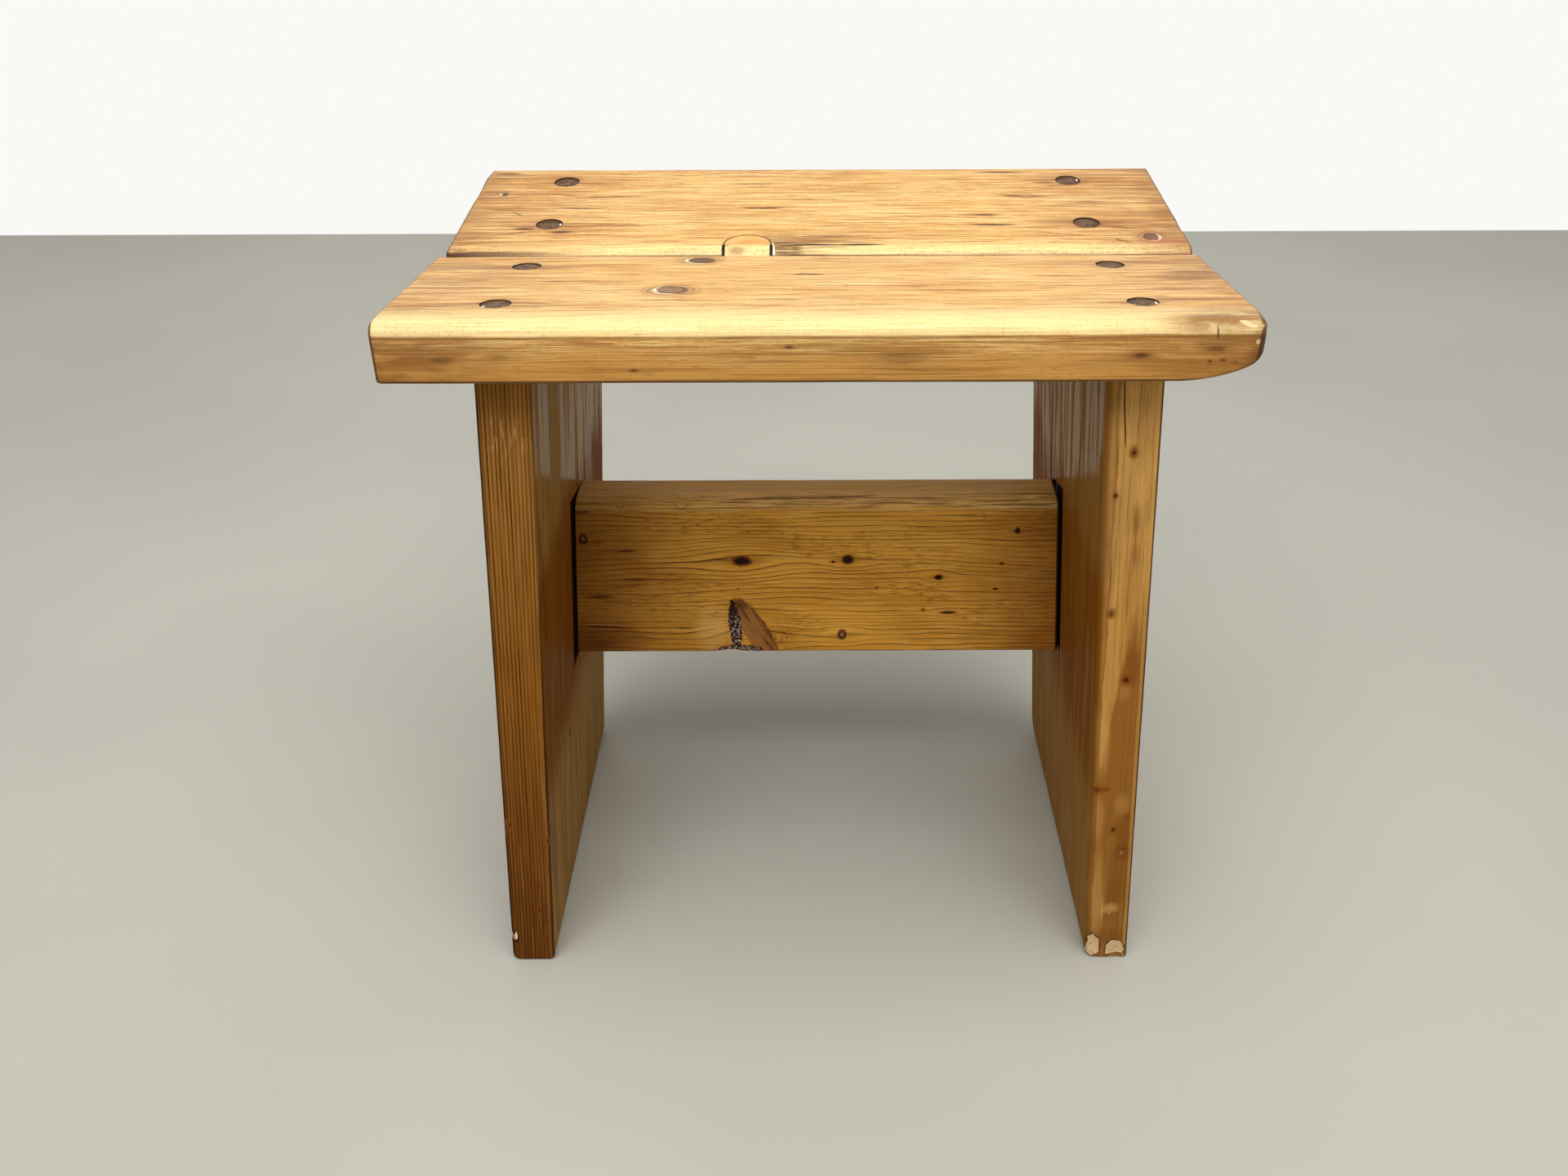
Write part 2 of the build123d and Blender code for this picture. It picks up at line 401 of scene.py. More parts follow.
def bar_set(name, bars):
    """One object made of several separate bars."""
    all_points = []
    all_faces = []
    for points, faces in bars:
        start = len(all_points)
        all_points += points
        all_faces += [[start + number for number in face] for face in faces]
    return new_piece(name, all_points, all_faces)


def fit_piece(piece, material, slot, *nodes):
    """Give a piece its finish and its place on the frame, and hide the solids that it stands for."""
    smooth(piece)
    piece.data.materials.clear()
    piece.data.materials.append(material)
    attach(piece, "root")
    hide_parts(*nodes)


# Dowels

HOLE_RINGS = [
    # depth below the end face, and the play round the dowel
    (-4, 0.7),
    (-0.4, 0.36),
    (0.1, 0.22),
    (0.5, 0.08),
    (dowel_length + 0.2, 0.06),
]
FRONT_DOWELS = (1, 2, 3, 4)
REAR_DOWELS = (5, 6, 7, 8)
STRETCHER_DOWELS = (1, 2, 3, 4)
END_FACE_SHARES = (0.12, 0.25, 0.4, 0.55, 0.7, 0.82, 0.9)


def seat_dowel_end(number):
    """Middle of the end face of a seat dowel, before it is sunk, and the normal of its board."""
    middle = node_middle(f"seat_dowel_{number}")
    turned = front_frame if number in FRONT_DOWELS else rear_frame
    normal = turned.col[2].xyz
    height = turned.translation.z - (middle.y - turned.translation.y) * normal.y / normal.z
    return Vector((middle.x, middle.y, height)), normal


def stretcher_dowel_end(number):
    """Middle of the end face of a stretcher dowel, before it is sunk, and the normal of its leg."""
    middle = node_middle(f"stretcher_dowel_{number}")
    side = side_of(middle)
    outer_x = side * (foot_half_span - middle.z * tan(leg_lean) + leg_thickness / cos(leg_lean))
    return Vector((outer_x, middle.y, middle.z)), Vector((side * cos(leg_lean), 0, sin(leg_lean)))


def hole(middle, axis, normal):
    """Bar that cuts a dowel's hole, with its rim eased by wear."""
    return round_bar(middle, axis, normal, [(depth, dowel_radius + play) for depth, play in HOLE_RINGS])


def seat_holes(numbers):
    """Bars for the holes of some seat dowels."""
    bars = []
    for number in numbers:
        middle, normal = seat_dowel_end(number)
        bars.append(hole(middle, Z_AXIS, normal))
    return bar_set("seat_holes", bars)


def stretcher_holes(numbers):
    """Bars for the holes of some stretcher dowels."""
    bars = []
    for number in numbers:
        middle, normal = stretcher_dowel_end(number)
        bars.append(hole(middle, X_AXIS * side_of(middle), normal))
    return bar_set("stretcher_holes", bars)


def dowel(name, middle, axis, normal, seed):
    """Dowel with a sawn, slightly uneven end and an eased rim."""

    def sawn(radius, angle):
        side = Vector((radius * cos(angle), radius * sin(angle), seed))
        return 0.12 * noise.noise(side / 3) + 0.1 * noise.noise(Vector((side.x / 0.9, side.y / 9, seed)))

    rings = [(dowel_sink, share * dowel_radius) for share in END_FACE_SHARES]
    for depth, inset in ((0.06, 0.35), (0.22, 0.12), (0.5, 0)):
        rings.append((dowel_sink + depth, dowel_radius - inset))
    for from_end, inset in ((1.2, 0), (0.6, 0.6)):
        rings.append((dowel_length - from_end, dowel_radius - inset))
    points, faces = round_bar(middle, axis, normal, rings, sawn)
    return new_piece(name, points, faces)


# Shaders

class Field:
    """A number or colour that varies over the wood, with sums written as ordinary arithmetic."""

    def __init__(self, tree, socket):
        self.tree = tree
        self.socket = socket

    def reckon(self, operation, *others):
        node = self.tree.nodes.new("ShaderNodeMath")
        node.operation = operation
        for slot, value in zip(node.inputs, (self, *others)):
            feed(self.tree, slot, value)
        return Field(self.tree, node.outputs[0])

    def __add__(self, other):
        return self.reckon("ADD", other)

    def __sub__(self, other):
        return self.reckon("SUBTRACT", other)

    def __mul__(self, other):
        return self.reckon("MULTIPLY", other)

    def __truediv__(self, other):
        return self.reckon("DIVIDE", other)

    def at_least(self, other):
        return self.reckon("MAXIMUM", other)

    def at_most(self, other):
        return self.reckon("MINIMUM", other)

    def flipped(self):
        """1 where the field is 0, and 0 where it is 1."""
        return self.reckon("MULTIPLY_ADD", -1, 1)

    def size(self):
        return self.reckon("ABSOLUTE")

    def fraction(self):
        return self.reckon("FRACT")

    def ramp(self, low, high, bottom=0, top=1):
        """Smooth rise from bottom at low to top at high. Low may be the larger one."""
        node = self.tree.nodes.new("ShaderNodeMapRange")
        node.interpolation_type = "SMOOTHSTEP"
        node.clamp = False
        names = ("Value", "From Min", "From Max", "To Min", "To Max")
        for name, value in zip(names, (self, low, high, bottom, top)):
            feed(self.tree, node.inputs[name], value)
        return Field(self.tree, node.outputs[0])


def feed(tree, slot, value):
    """Link a field to a socket, or set a plain value on it."""
    if isinstance(value, Field):
        tree.links.new(value.socket, slot)
    else:
        slot.default_value = value


def strongest(fields):
    """Largest of several fields."""
    total = fields[0]
    for field in fields[1:]:
        total = total.at_least(field)
    return total


class Finish:
    """Node tree of one piece's finish, worked out in the piece's own millimetres.

    It keeps a colour and a height, which each mark is laid over in turn.
    """

    def __init__(self, name, turned):
        self.material = bpy.data.materials.new(name)
        self.material.use_nodes = True
        self.tree = self.material.node_tree
        self.tree.nodes.clear()
        self.turned = turned
        self.colours = bpy.context.scene.stool_colours
        self.colour = None
        self.height = None
        coordinates = self.node("ShaderNodeTexCoord")
        world = Field(self.tree, coordinates.outputs["Object"])
        self.facing = Field(self.tree, coordinates.outputs["Normal"])
        self.place = self.mapped(world, turned.translation * MM, (MM,) * 3, turned.to_euler())
        self.along, self.across, self.through = self.parts(self.place)

    def node(self, kind, inputs=None, **settings):
        """New node with its settings made, and values or fields in its inputs."""
        made = self.tree.nodes.new(kind)
        for name, value in settings.items():
            setattr(made, name, value)
        for slot, value in (inputs or {}).items():
            feed(self.tree, made.inputs[slot], value)
        return made

    def reading(self, kind, inputs, output=0, **settings):
        """One output of a new node, as a field."""
        return Field(self.tree, self.node(kind, inputs, **settings).outputs[output])

    def parts(self, vector):
        """The three numbers of a vector."""
        apart = self.node("ShaderNodeSeparateXYZ", {0: vector})
        return [Field(self.tree, socket) for socket in apart.outputs]

    def mapped(self, vector, middle, size, turn=(0, 0, 0)):
        """A vector measured from a middle, in sizes, along turned axes."""
        inputs = {"Vector": vector, "Location": middle, "Scale": size, "Rotation": turn}
        return self.reading("ShaderNodeMapping", inputs, vector_type="TEXTURE")

    def shifted(self, along, across):
        """The piece's place, moved by two fields, so that what is drawn there gets a ragged outline."""
        shift = self.reading("ShaderNodeCombineXYZ", {0: along, 1: across})
        return self.reading("ShaderNodeVectorMath", {0: self.place, 1: shift}, operation="ADD")

    def cloud(self, size, seed=0, detail=2, roughness=0.5, place=None):
        """Cloudy pattern, mostly from 0.3 to 0.7, whose patches have about the given size."""
        vector = self.mapped(place or self.place, (seed * 37.7, seed * 11.3, seed * 5.9), size)
        inputs = {"Vector": vector, "Scale": 1, "Detail": detail, "Roughness": roughness}
        return self.reading("ShaderNodeTexNoise", inputs)

    def distance(self, middle, size, turn=0, place=None):
        """Distance from a middle, in sizes."""
        vector = self.mapped(place or self.place, middle, size, (0, 0, turn))
        return self.reading("ShaderNodeVectorMath", {0: vector}, "Value", operation="LENGTH")

    def spot(self, middle, size, soft=0.6, turn=0, place=None, strength=1):
        """Strength inside an oval and 0 outside, with a soft edge."""
        return self.distance(middle, size, turn, place).ramp(1 + soft / 2, 1 - soft / 2, 0, strength)

    def facing_along(self, axis):
        """From -1 to 1, how far the surface faces along an axis of the piece (0, 1 or 2)."""
        inputs = {0: self.facing, 1: self.turned.col[axis].xyz}
        return self.reading("ShaderNodeVectorMath", inputs, "Value", operation="DOT_PRODUCT")

    def turned_to(self, axis, low, high):
        """1 where the surface faces along an axis of the piece or, with limits below 0, against it."""
        return self.facing_along(axis).ramp(low, high)

    def end_grain(self, low, high, arris, flat):
        """Share of a dark colour on end grain, dirt on the boards and legs and painted shade at the
        stretcher's ends: one value at the rounded arris, another on the flat of the end.
        """
        facing = self.facing_along(0).size()
        return facing.ramp(low, high, 0, arris) + facing.ramp(0.8, 0.99, 0, flat - arris)

    def off_the_ends(self, share):
        """A share that fades to nothing on the flat of the ends."""
        return self.facing_along(0).size().ramp(0.8, 0.98, share, 0)

    def mix(self, first, second, share):
        """Colour between two colours."""
        made = self.node("ShaderNodeMix", data_type="RGBA")
        feed(self.tree, made.inputs["Factor"], share)
        colour_slots = [slot for slot in made.inputs if slot.type == "RGBA"]
        for slot, value in zip(colour_slots, (first, second)):
            feed(self.tree, slot, value if isinstance(value, Field) else (*value, 1))
        return Field(self.tree, [slot for slot in made.outputs if slot.type == "RGBA"][0])

    def paint(self, colour, share):
        """Lay a colour over the one so far, by a share."""
        self.colour = self.mix(self.colour, colour, share)

    def sink(self, depth):
        """Press a depth into the surface."""
        self.height = self.height - depth

    def random_step(self, number):
        """Random number from 0 to 1 that stays the same between whole numbers."""
        inputs = {"W": number.reckon("FLOOR")}
        return self.reading("ShaderNodeTexWhiteNoise", inputs, "Value", noise_dimensions="1D")

    def surface(self, relief, roughness, gloss, coat, coat_roughness):
        """Close the tree with a lacquered surface. Relief is the depth of the bump, in millimetres."""
        bump = self.node("ShaderNodeBump")
        bump.inputs["Distance"].default_value = relief * MM
        feed(self.tree, bump.inputs["Height"], self.height)
        shader = self.node("ShaderNodeBsdfPrincipled")
        feed(self.tree, shader.inputs["Base Color"], self.colour)
        feed(self.tree, shader.inputs["Roughness"], roughness)
        self.tree.links.new(bump.outputs[0], shader.inputs["Normal"])
        self.tree.links.new(bump.outputs[0], shader.inputs["Coat Normal"])
        shader.inputs["Specular IOR Level"].default_value = gloss
        shader.inputs["Coat Weight"].default_value = coat
        shader.inputs["Coat Roughness"].default_value = coat_roughness
        output = self.node("ShaderNodeOutputMaterial")
        self.tree.links.new(shader.outputs[0], output.inputs[0])
        return self.material


def growth_rings(finish, pith, spacing, wander=5, knots=()):
    """Late wood of the growth rings as thin lines and as soft bands, and a random number for each ring.

    The lines part round each knot, which is (middle along and across, half length and half
    width of the parted grain, push): push is the share by which the lines are moved away.
    """
    across = finish.across
    for knot_along, knot_across, half_length, half_width, push in knots:
        near = finish.distance((knot_along, knot_across, 0), (half_length, half_width, 60))
        across = across - (finish.across - knot_across) * near.ramp(1, 0, 0, push)
    slow = (finish.cloud((190, 40, 40), 1) - 0.5) * wander * 3
    quick = (finish.cloud((45, 14, 14), 2) - 0.5) * wander * 0.45
    sideways = across + slow + quick - pith[0]
    inward = finish.through - pith[1]
    radius = (sideways * sideways + inward * inward).reckon("SQRT")
    rings = radius / spacing
    phase = rings.fraction()
    line = phase.ramp(0.72, 0.93) * phase.ramp(1, 0.96)
    band = phase.ramp(0.1, 0.9) * phase.ramp(1, 0.95)
    return line, band, finish.random_step(rings)


def streaks(finish, table, place):
    """Soft haze and dark heart of the streaks in a table, each from 0 to 1."""
    fields = []
    for along, across, half_length, half_width, dark, *turn in table:
        angle = radians(turn[0]) if turn else 0
        size = (half_length, half_width, streak_depth)
        distance = finish.distance((along, across, 0), size, angle, place)
        fields.append(distance.ramp(1.15, 0.05, 0, dark))
    streak = strongest(fields)
    return streak.ramp(0, 0.9, 0, 0.8), streak.ramp(0.5, 1.05)


# Finish of the seat

FRONT_BOARD_STREAKS = [
    # middle along and across, half length and half width, darkness, turn in degrees
    (-199, -107, 17, 1.5, 1.0),
    (-160, -107, 24, 1.2, 0.3),
    (-133, -57, 26, 1.1, 1.0, -1),
    (-112, -57, 30, 1.6, 0.3),
    (-158, -66, 1.2, 0.8, 0.8),
    (-164, -121, 18, 2.6, 0.5),
    (-110, -119, 19, 2.4, 0.7, 2),
    (-128, -122, 22, 2.0, 0.35),
    (-176, -8, 24, 1.6, 0.5),
    (-140, -14, 28, 2.6, 0.5),
    (-190, -24, 26, 2.4, 0.45),
    (-188, -36, 30, 1.4, 0.35),
    (-170, -52, 30, 1.2, 0.3),
    (-178, -80, 26, 2.2, 0.3),
    (-78, -93.5, 27, 1.3, 0.9, 1),
    (-70, -93.5, 12, 1.0, 0.9, 1),
    (-93, -41, 24, 0.9, 0.55, 2),
    (-91, -54.6, 12, 1.1, 0.5),
    (-74, -122, 24, 1.8, 0.5),
    (-97, -103, 22, 3.4, 0.4),
    (-5, -43.5, 13, 1.5, 1.6),
    (0, -55.6, 26, 0.9, 0.5),
    (-19, -92.3, 19, 1.2, 1.1),
    (-5, -85, 14, 1.0, 0.35),
    (8.6, -8.4, 26, 2.0, 0.75),
    (-6, -14, 26, 1.4, 0.3),
    (39, -18.2, 14, 1.1, 0.8),
    (69.5, -76.6, 16, 0.9, 0.8),
    (45, -87, 13, 1.0, 0.7),
    (54.8, -53.6, 26, 1.6, 0.5),
    (36, -51, 16, 1.0, 0.35),
    (105, -19, 24, 1.6, 0.35),
    (90, -117, 20, 1.3, 0.35),
    (140, -20, 40, 3.0, 0.35),
    (197, -86, 20, 1.1, 0.7),
    (170, -68, 26, 1.6, 0.25),
    (168, -106, 22, 1.4, 0.3),
    (199, -62, 15, 2.4, 0.4),
]
REAR_BOARD_STREAKS = [
    (-191, 62, 16, 1.2, 0.7, -4),
    (-177, 55, 12, 1.4, 0.8, -28),
    (-187, 43, 26, 1.3, 0.7, -3),
    (-172, 33, 9, 2.4, 1.2),
    (-197, 22, 20, 1.4, 0.7, 8),
    (-176, 27, 20, 1.5, 0.8, 12),
    (-148, 28.5, 15, 3.6, 1.0),
    (-141, 31, 26, 4.4, 0.4),
    (-143, 40, 14, 1.3, 0.6, 12),
    (-112, 37.6, 40, 1.1, 0.7, -2),
    (-152, 84, 22, 1.4, 0.7, -14),
    (-130, 81.3, 26, 1.6, 1.0),
    (-100, 80, 34, 1.6, 0.4),
    (-142, 63.5, 26, 1.5, 1.0, -2),
    (-110, 61, 30, 1.0, 0.4),
    (-178, 100.8, 26, 1.1, 0.7, -3),
    (-197, 90, 18, 1.3, 0.8),
    (-176, 89, 18, 1.2, 0.5),
    (-196, 120, 12, 2.0, 1.1),
    (-202, 108, 16, 7, 0.45),
    (-120, 112, 24, 1.4, 0.35),
    (-40, 102, 24, 1.8, 0.9),
    (-37, 97, 16, 1.6, 0.6),
    (-91, 100.4, 18, 1.8, 0.6),
    (-88, 89, 44, 1.2, 0.5),
    (-96, 59, 24, 0.9, 0.6),
    (-34, 63, 21, 2.2, 1.4),
    (-5, 75.6, 1.6, 1.2, 1.2),
    (-101, 14, 28, 1.4, 0.5, 2),
    (3, 35, 16, 1.5, 0.45),
    (118, 120, 26, 2.6, 1.1),
    (140, 102.5, 12, 1.5, 1.1),
    (148, 97.8, 16, 2.4, 0.7),
    (126, 80.6, 24, 3.2, 0.9, -3),
    (142, 80.6, 18, 2.0, 0.5),
    (164, 72, 32, 2.4, 0.6),
    (166, 70.4, 14, 1.3, 0.9),
    (150, 64.7, 32, 3.0, 0.55),
    (99, 52, 16, 3.6, 0.9),
    (103.5, 37, 20, 1.9, 1.3),
    (103.5, 37, 5, 1.6, 1.6),
    (175, 33, 26, 3.6, 0.7, -14),
    (140, 24, 34, 1.1, 0.8, -13),
    (174, 14, 20, 1.1, 0.8, -26),
    (201, 92.5, 12, 1.2, 0.8),
    (190, 104, 22, 1.3, 0.4),
    (108, 69, 18, 1.8, 0.4),
    (60, 98, 36, 1.4, 0.4),
    (30, 110, 30, 1.2, 0.4),
    (60, 20, 34, 1.4, 0.35),
    (75, 8, 40, 1.0, 0.5),
]


def plug_marks(finish, numbers, ragged):
    """Brown tails that have crept along the grain from the seat dowels, and the dirt and painted shade in
    their rims.
    """
    back = finish.turned.inverted()
    tails = []
    rims = []
    for number in numbers:
        middle = back @ seat_dowel_end(number)[0]
        reach = 30 + 5 * (number % 3)
        lean = 2.5 * (-1) ** number
        tail = finish.spot((middle.x, middle.y + lean, 0), (reach, 5.6, 20), 1.4, place=ragged)
        near = finish.spot((middle.x, middle.y, 0), (13, 8.8, 20), 0.7, place=ragged)
        tails.append(tail.at_least(near))
        rim = finish.distance((middle.x, middle.y, 0), (dowel_radius, dowel_radius, 60))
        rims.append(rim.ramp(1.07, 1.02))
    return strongest(tails), strongest(rims)


def seat_finish(name, turned, numbers, streak_table, knots, marks, pith, ring_spacing, seed):
    """Honey pine of a seat board, waxed and worn, brown at its ends and round its dowels, with painted
    shade on its underside.
    """
    finish = Finish(name, turned)
    colours = finish.colours
    long_drift = finish.cloud((26, 9, 9), seed + 9)
    short_drift = finish.cloud((10, 2.4, 9), seed + 3)
    ragged = finish.shifted((long_drift - 0.5) * 14, (short_drift - 0.5) * 2.6)
    swirls = [(*knot["middle"], *knot["swirl"], 0.86) for knot in knots]
    line, band, ring_random = growth_rings(finish, pith, ring_spacing, 4, swirls)
    fade = finish.cloud((70, 18, 18), seed + 12)
    fibre = finish.cloud((40, 0.7, 0.7), seed + 4, 2, 0.6)
    hair = finish.cloud((9, 0.4, 0.4), seed + 5, 2, 0.6)
    mottle = finish.cloud((2.2, 1.5, 1.5), seed + 13, 2, 0.6)
    patches = finish.cloud((85, 24, 24), seed + 6, 3, 0.6)
    flecks = finish.cloud((13, 1.1, 1.1), seed + 7, 2, 0.55)
    fleck_patches = finish.cloud((70, 26, 26), seed + 8, 1)

    finish.colour = finish.mix(colours.seat_wood, colours.seat_deep, patches.ramp(0.4, 0.66, 0.1, 0.65))
    line_share = (ring_random * 0.7 + 0.2) * fade.ramp(0.3, 0.62, 0.25, 1)
    finish.paint(colours.seat_line, (line * 0.85 + band * 0.25) * line_share)
    finish.paint(colours.seat_pale, fibre.ramp(0.48, 0.34, 0, 0.5))
    finish.paint(colours.seat_line, fibre.ramp(0.49, 0.63, 0, 0.75))
    finish.paint(colours.seat_line, hair.ramp(0.53, 0.7, 0, 0.7))
    finish.paint(colours.seat_pale, mottle.ramp(0.55, 0.75, 0, 0.3))
    fleck_share = flecks.ramp(0.58, 0.72) * fleck_patches.ramp(0.4, 0.6, 0, 0.6)
    finish.paint(colours.stain, fleck_share)

    from_middle = finish.along.size() + (long_drift - 0.5) * 60
    end_streaks = finish.cloud((60, 3.2, 3.2), seed + 14).ramp(0.36, 0.64, 0.15, 1)
    finish.paint(colours.stain, from_middle.ramp(105, 212, 0, 0.62) * end_streaks)

    haze, heart = streaks(finish, streak_table, ragged)
    tails, rims = plug_marks(finish, numbers, ragged)
    finish.paint(colours.stain, haze * fibre.ramp(0.35, 0.6, 0.6, 1))
    finish.paint(colours.stain, tails * end_streaks * 0.78)
    finish.paint(colours.dirt, heart.at_most(1) * 0.85)
    finish.height = band * 0.3 + fibre * 0.6 + hair * 0.4
    for knot in knots:
        draw_knot(finish, knot)
    marks(finish, ragged)
    # Dirt and painted shade in the rims of the dowel holes.
    finish.paint(colours.dirt, rims * 0.9)
    finish.paint(colours.dirt, finish.end_grain(0.12, 0.4, 0.85, 0.15))
    finish.paint(colours.dirt, band * finish.off_the_ends(1).flipped() * 0.9)
    # Painted shade on the board's underside, in the stain colour.
    under = finish.turned_to(2, -0.15, -0.6)
    finish.paint(colours.stain, under * 0.5)
    roughness = patches.ramp(0.3, 0.7, 0.4, 0.52) + fibre.ramp(0.4, 0.7, -0.04, 0.06)
    return finish.surface(0.1, roughness, 0.16, 0.08, 0.25)


def draw_knot(finish, knot):
    """Add one knot: its disc, a dark outline, curls of grain round it and a painted highlight, a light rim
    at one side with a glint.
    """
    along, across = knot["middle"]
    size = (*knot["size"], 60)
    wobble = (finish.cloud((5, 4, 8), along * 0.13) - 0.5) * 0.35
    distance = finish.distance((along, across, 0), size) + wobble
    inside = distance.ramp(1.04, 0.94)
    outline = distance.ramp(0.82, 0.98) * distance.ramp(1.16, 1.04)
    halo = distance.ramp(knot.get("reach", 2.4), 0.9)
    curls = (distance * knot.get("curls", 3.2)).fraction().ramp(0.55, 0.9) * distance.ramp(2.6, 1.2)
    inner_lines = finish.cloud((3, 0.9, 9), along * 0.31).ramp(0.4, 0.65)
    # Painted highlight: a light rim on the knot's lit side, and a glint at its end.
    lit = knot.get("lit", -1)
    side = (finish.along - along) * lit
    light = distance.ramp(1.02, 1.1) * distance.ramp(1.36, 1.16)
    light = light * (side + (finish.across - across) * -0.7).ramp(0, size[0] * 0.7)
    glint = finish.spot((along + lit * size[0] * 1.02, across - 0.4, 0), (0.9, 0.9, 9), 0.4)
    finish.paint(knot["halo"], halo * knot.get("halo_strength", 0.45))
    finish.paint(knot["outline"], curls * knot.get("curl_strength", 0.45))
    finish.paint(knot["core"], inside)
    finish.paint(knot["outline"], inside * inner_lines * 0.3)
    finish.paint(knot["outline"], outline * 0.9)
    finish.paint(srgb(255, 238, 200), light * knot.get("light", 0.7))
    finish.paint(srgb(255, 248, 230), glint * knot.get("glint", 1))
    finish.height = finish.height + inside * 0.6 - outline * 0.9


# In these tables, light, lit and glint set a knot's painted highlight: the strength of its light rim, the
# side that rim lies on, and the strength of its glint.
FRONT_KNOTS = [
    {
        "middle": (-64.2, -12.4),
        "size": (7.0, 5.4),
        "swirl": (50, 26),
        "core": srgb(106, 74, 48),
        "outline": srgb(66, 40, 24),
        "halo": srgb(160, 106, 62),
        "halo_strength": 0.6,
    },
    {
        "middle": (-74.4, -74.8),
        "size": (7.2, 6.2),
        "swirl": (60, 34),
        "core": srgb(148, 110, 74),
        "outline": srgb(66, 40, 24),
        "halo": srgb(160, 106, 62),
        "light": 0.8,
        "curls": 2.4,
        "curl_strength": 0.8,
    },
]
REAR_KNOTS = [
    {
        "middle": (190.8, 18.7),
        "size": (4.2, 4.4),
        "swirl": (40, 22),
        "core": srgb(112, 78, 54),
        "outline": srgb(72, 40, 24),
        "halo": srgb(168, 112, 60),
        "halo_strength": 0.7,
        "reach": 3.6,
        "curls": 1.6,
        "curl_strength": 0.7,
        "light": 1.0,
        "lit": 1,
        "glint": 0.8,
    },
    {
        "middle": (128, 80.4),
        "size": (3.0, 2.2),
        "swirl": (30, 12),
        "core": srgb(186, 136, 92),
        "outline": srgb(140, 92, 52),
        "halo": srgb(186, 132, 82),
        "light": 0.0,
        "glint": 0.0,
    },
    {
        "middle": (-192.2, 86),
        "size": (2.0, 2.4),
        "swirl": (18, 10),
        "core": srgb(96, 66, 40),
        "outline": srgb(84, 54, 32),
        "halo": srgb(176, 124, 76),
        "light": 0.0,
        "glint": 1.0,
    },
]
FRONT_FACE_SPOTS = [
    # middle along and through, half length, strength
    (-14.3, -11.5, 3.2, 1.0),
    (-87, -22.5, 2.8, 1.0),
    (150, -16, 8, 0.9),
    (182.3, -19, 1.5, 1.3),
    (188.3, -18.4, 2.0, 1.3),
    (194.3, -19.5, 2.2, 0.6),
    (184.6, -12.8, 9, 0.7),
    (38, -17, 22, 0.35),
    (-176, -17, 12, 0.6),
    (-150, -16, 9, 0.35),
]
CORNER_CHIPS_AND_HIGHLIGHT = [
    # middle and half sizes: along, across, through
    ((198.8, -130.4, -2), (4.2, 1.1, 6)),
    # This entry is a painted highlight on the worn corner, drawn and pressed in like the chips.
    ((198.5, -121, 0), (1.0, 0.9, 3)),
    ((203.5, -134, -9.6), (1.1, 6, 1.2)),
]


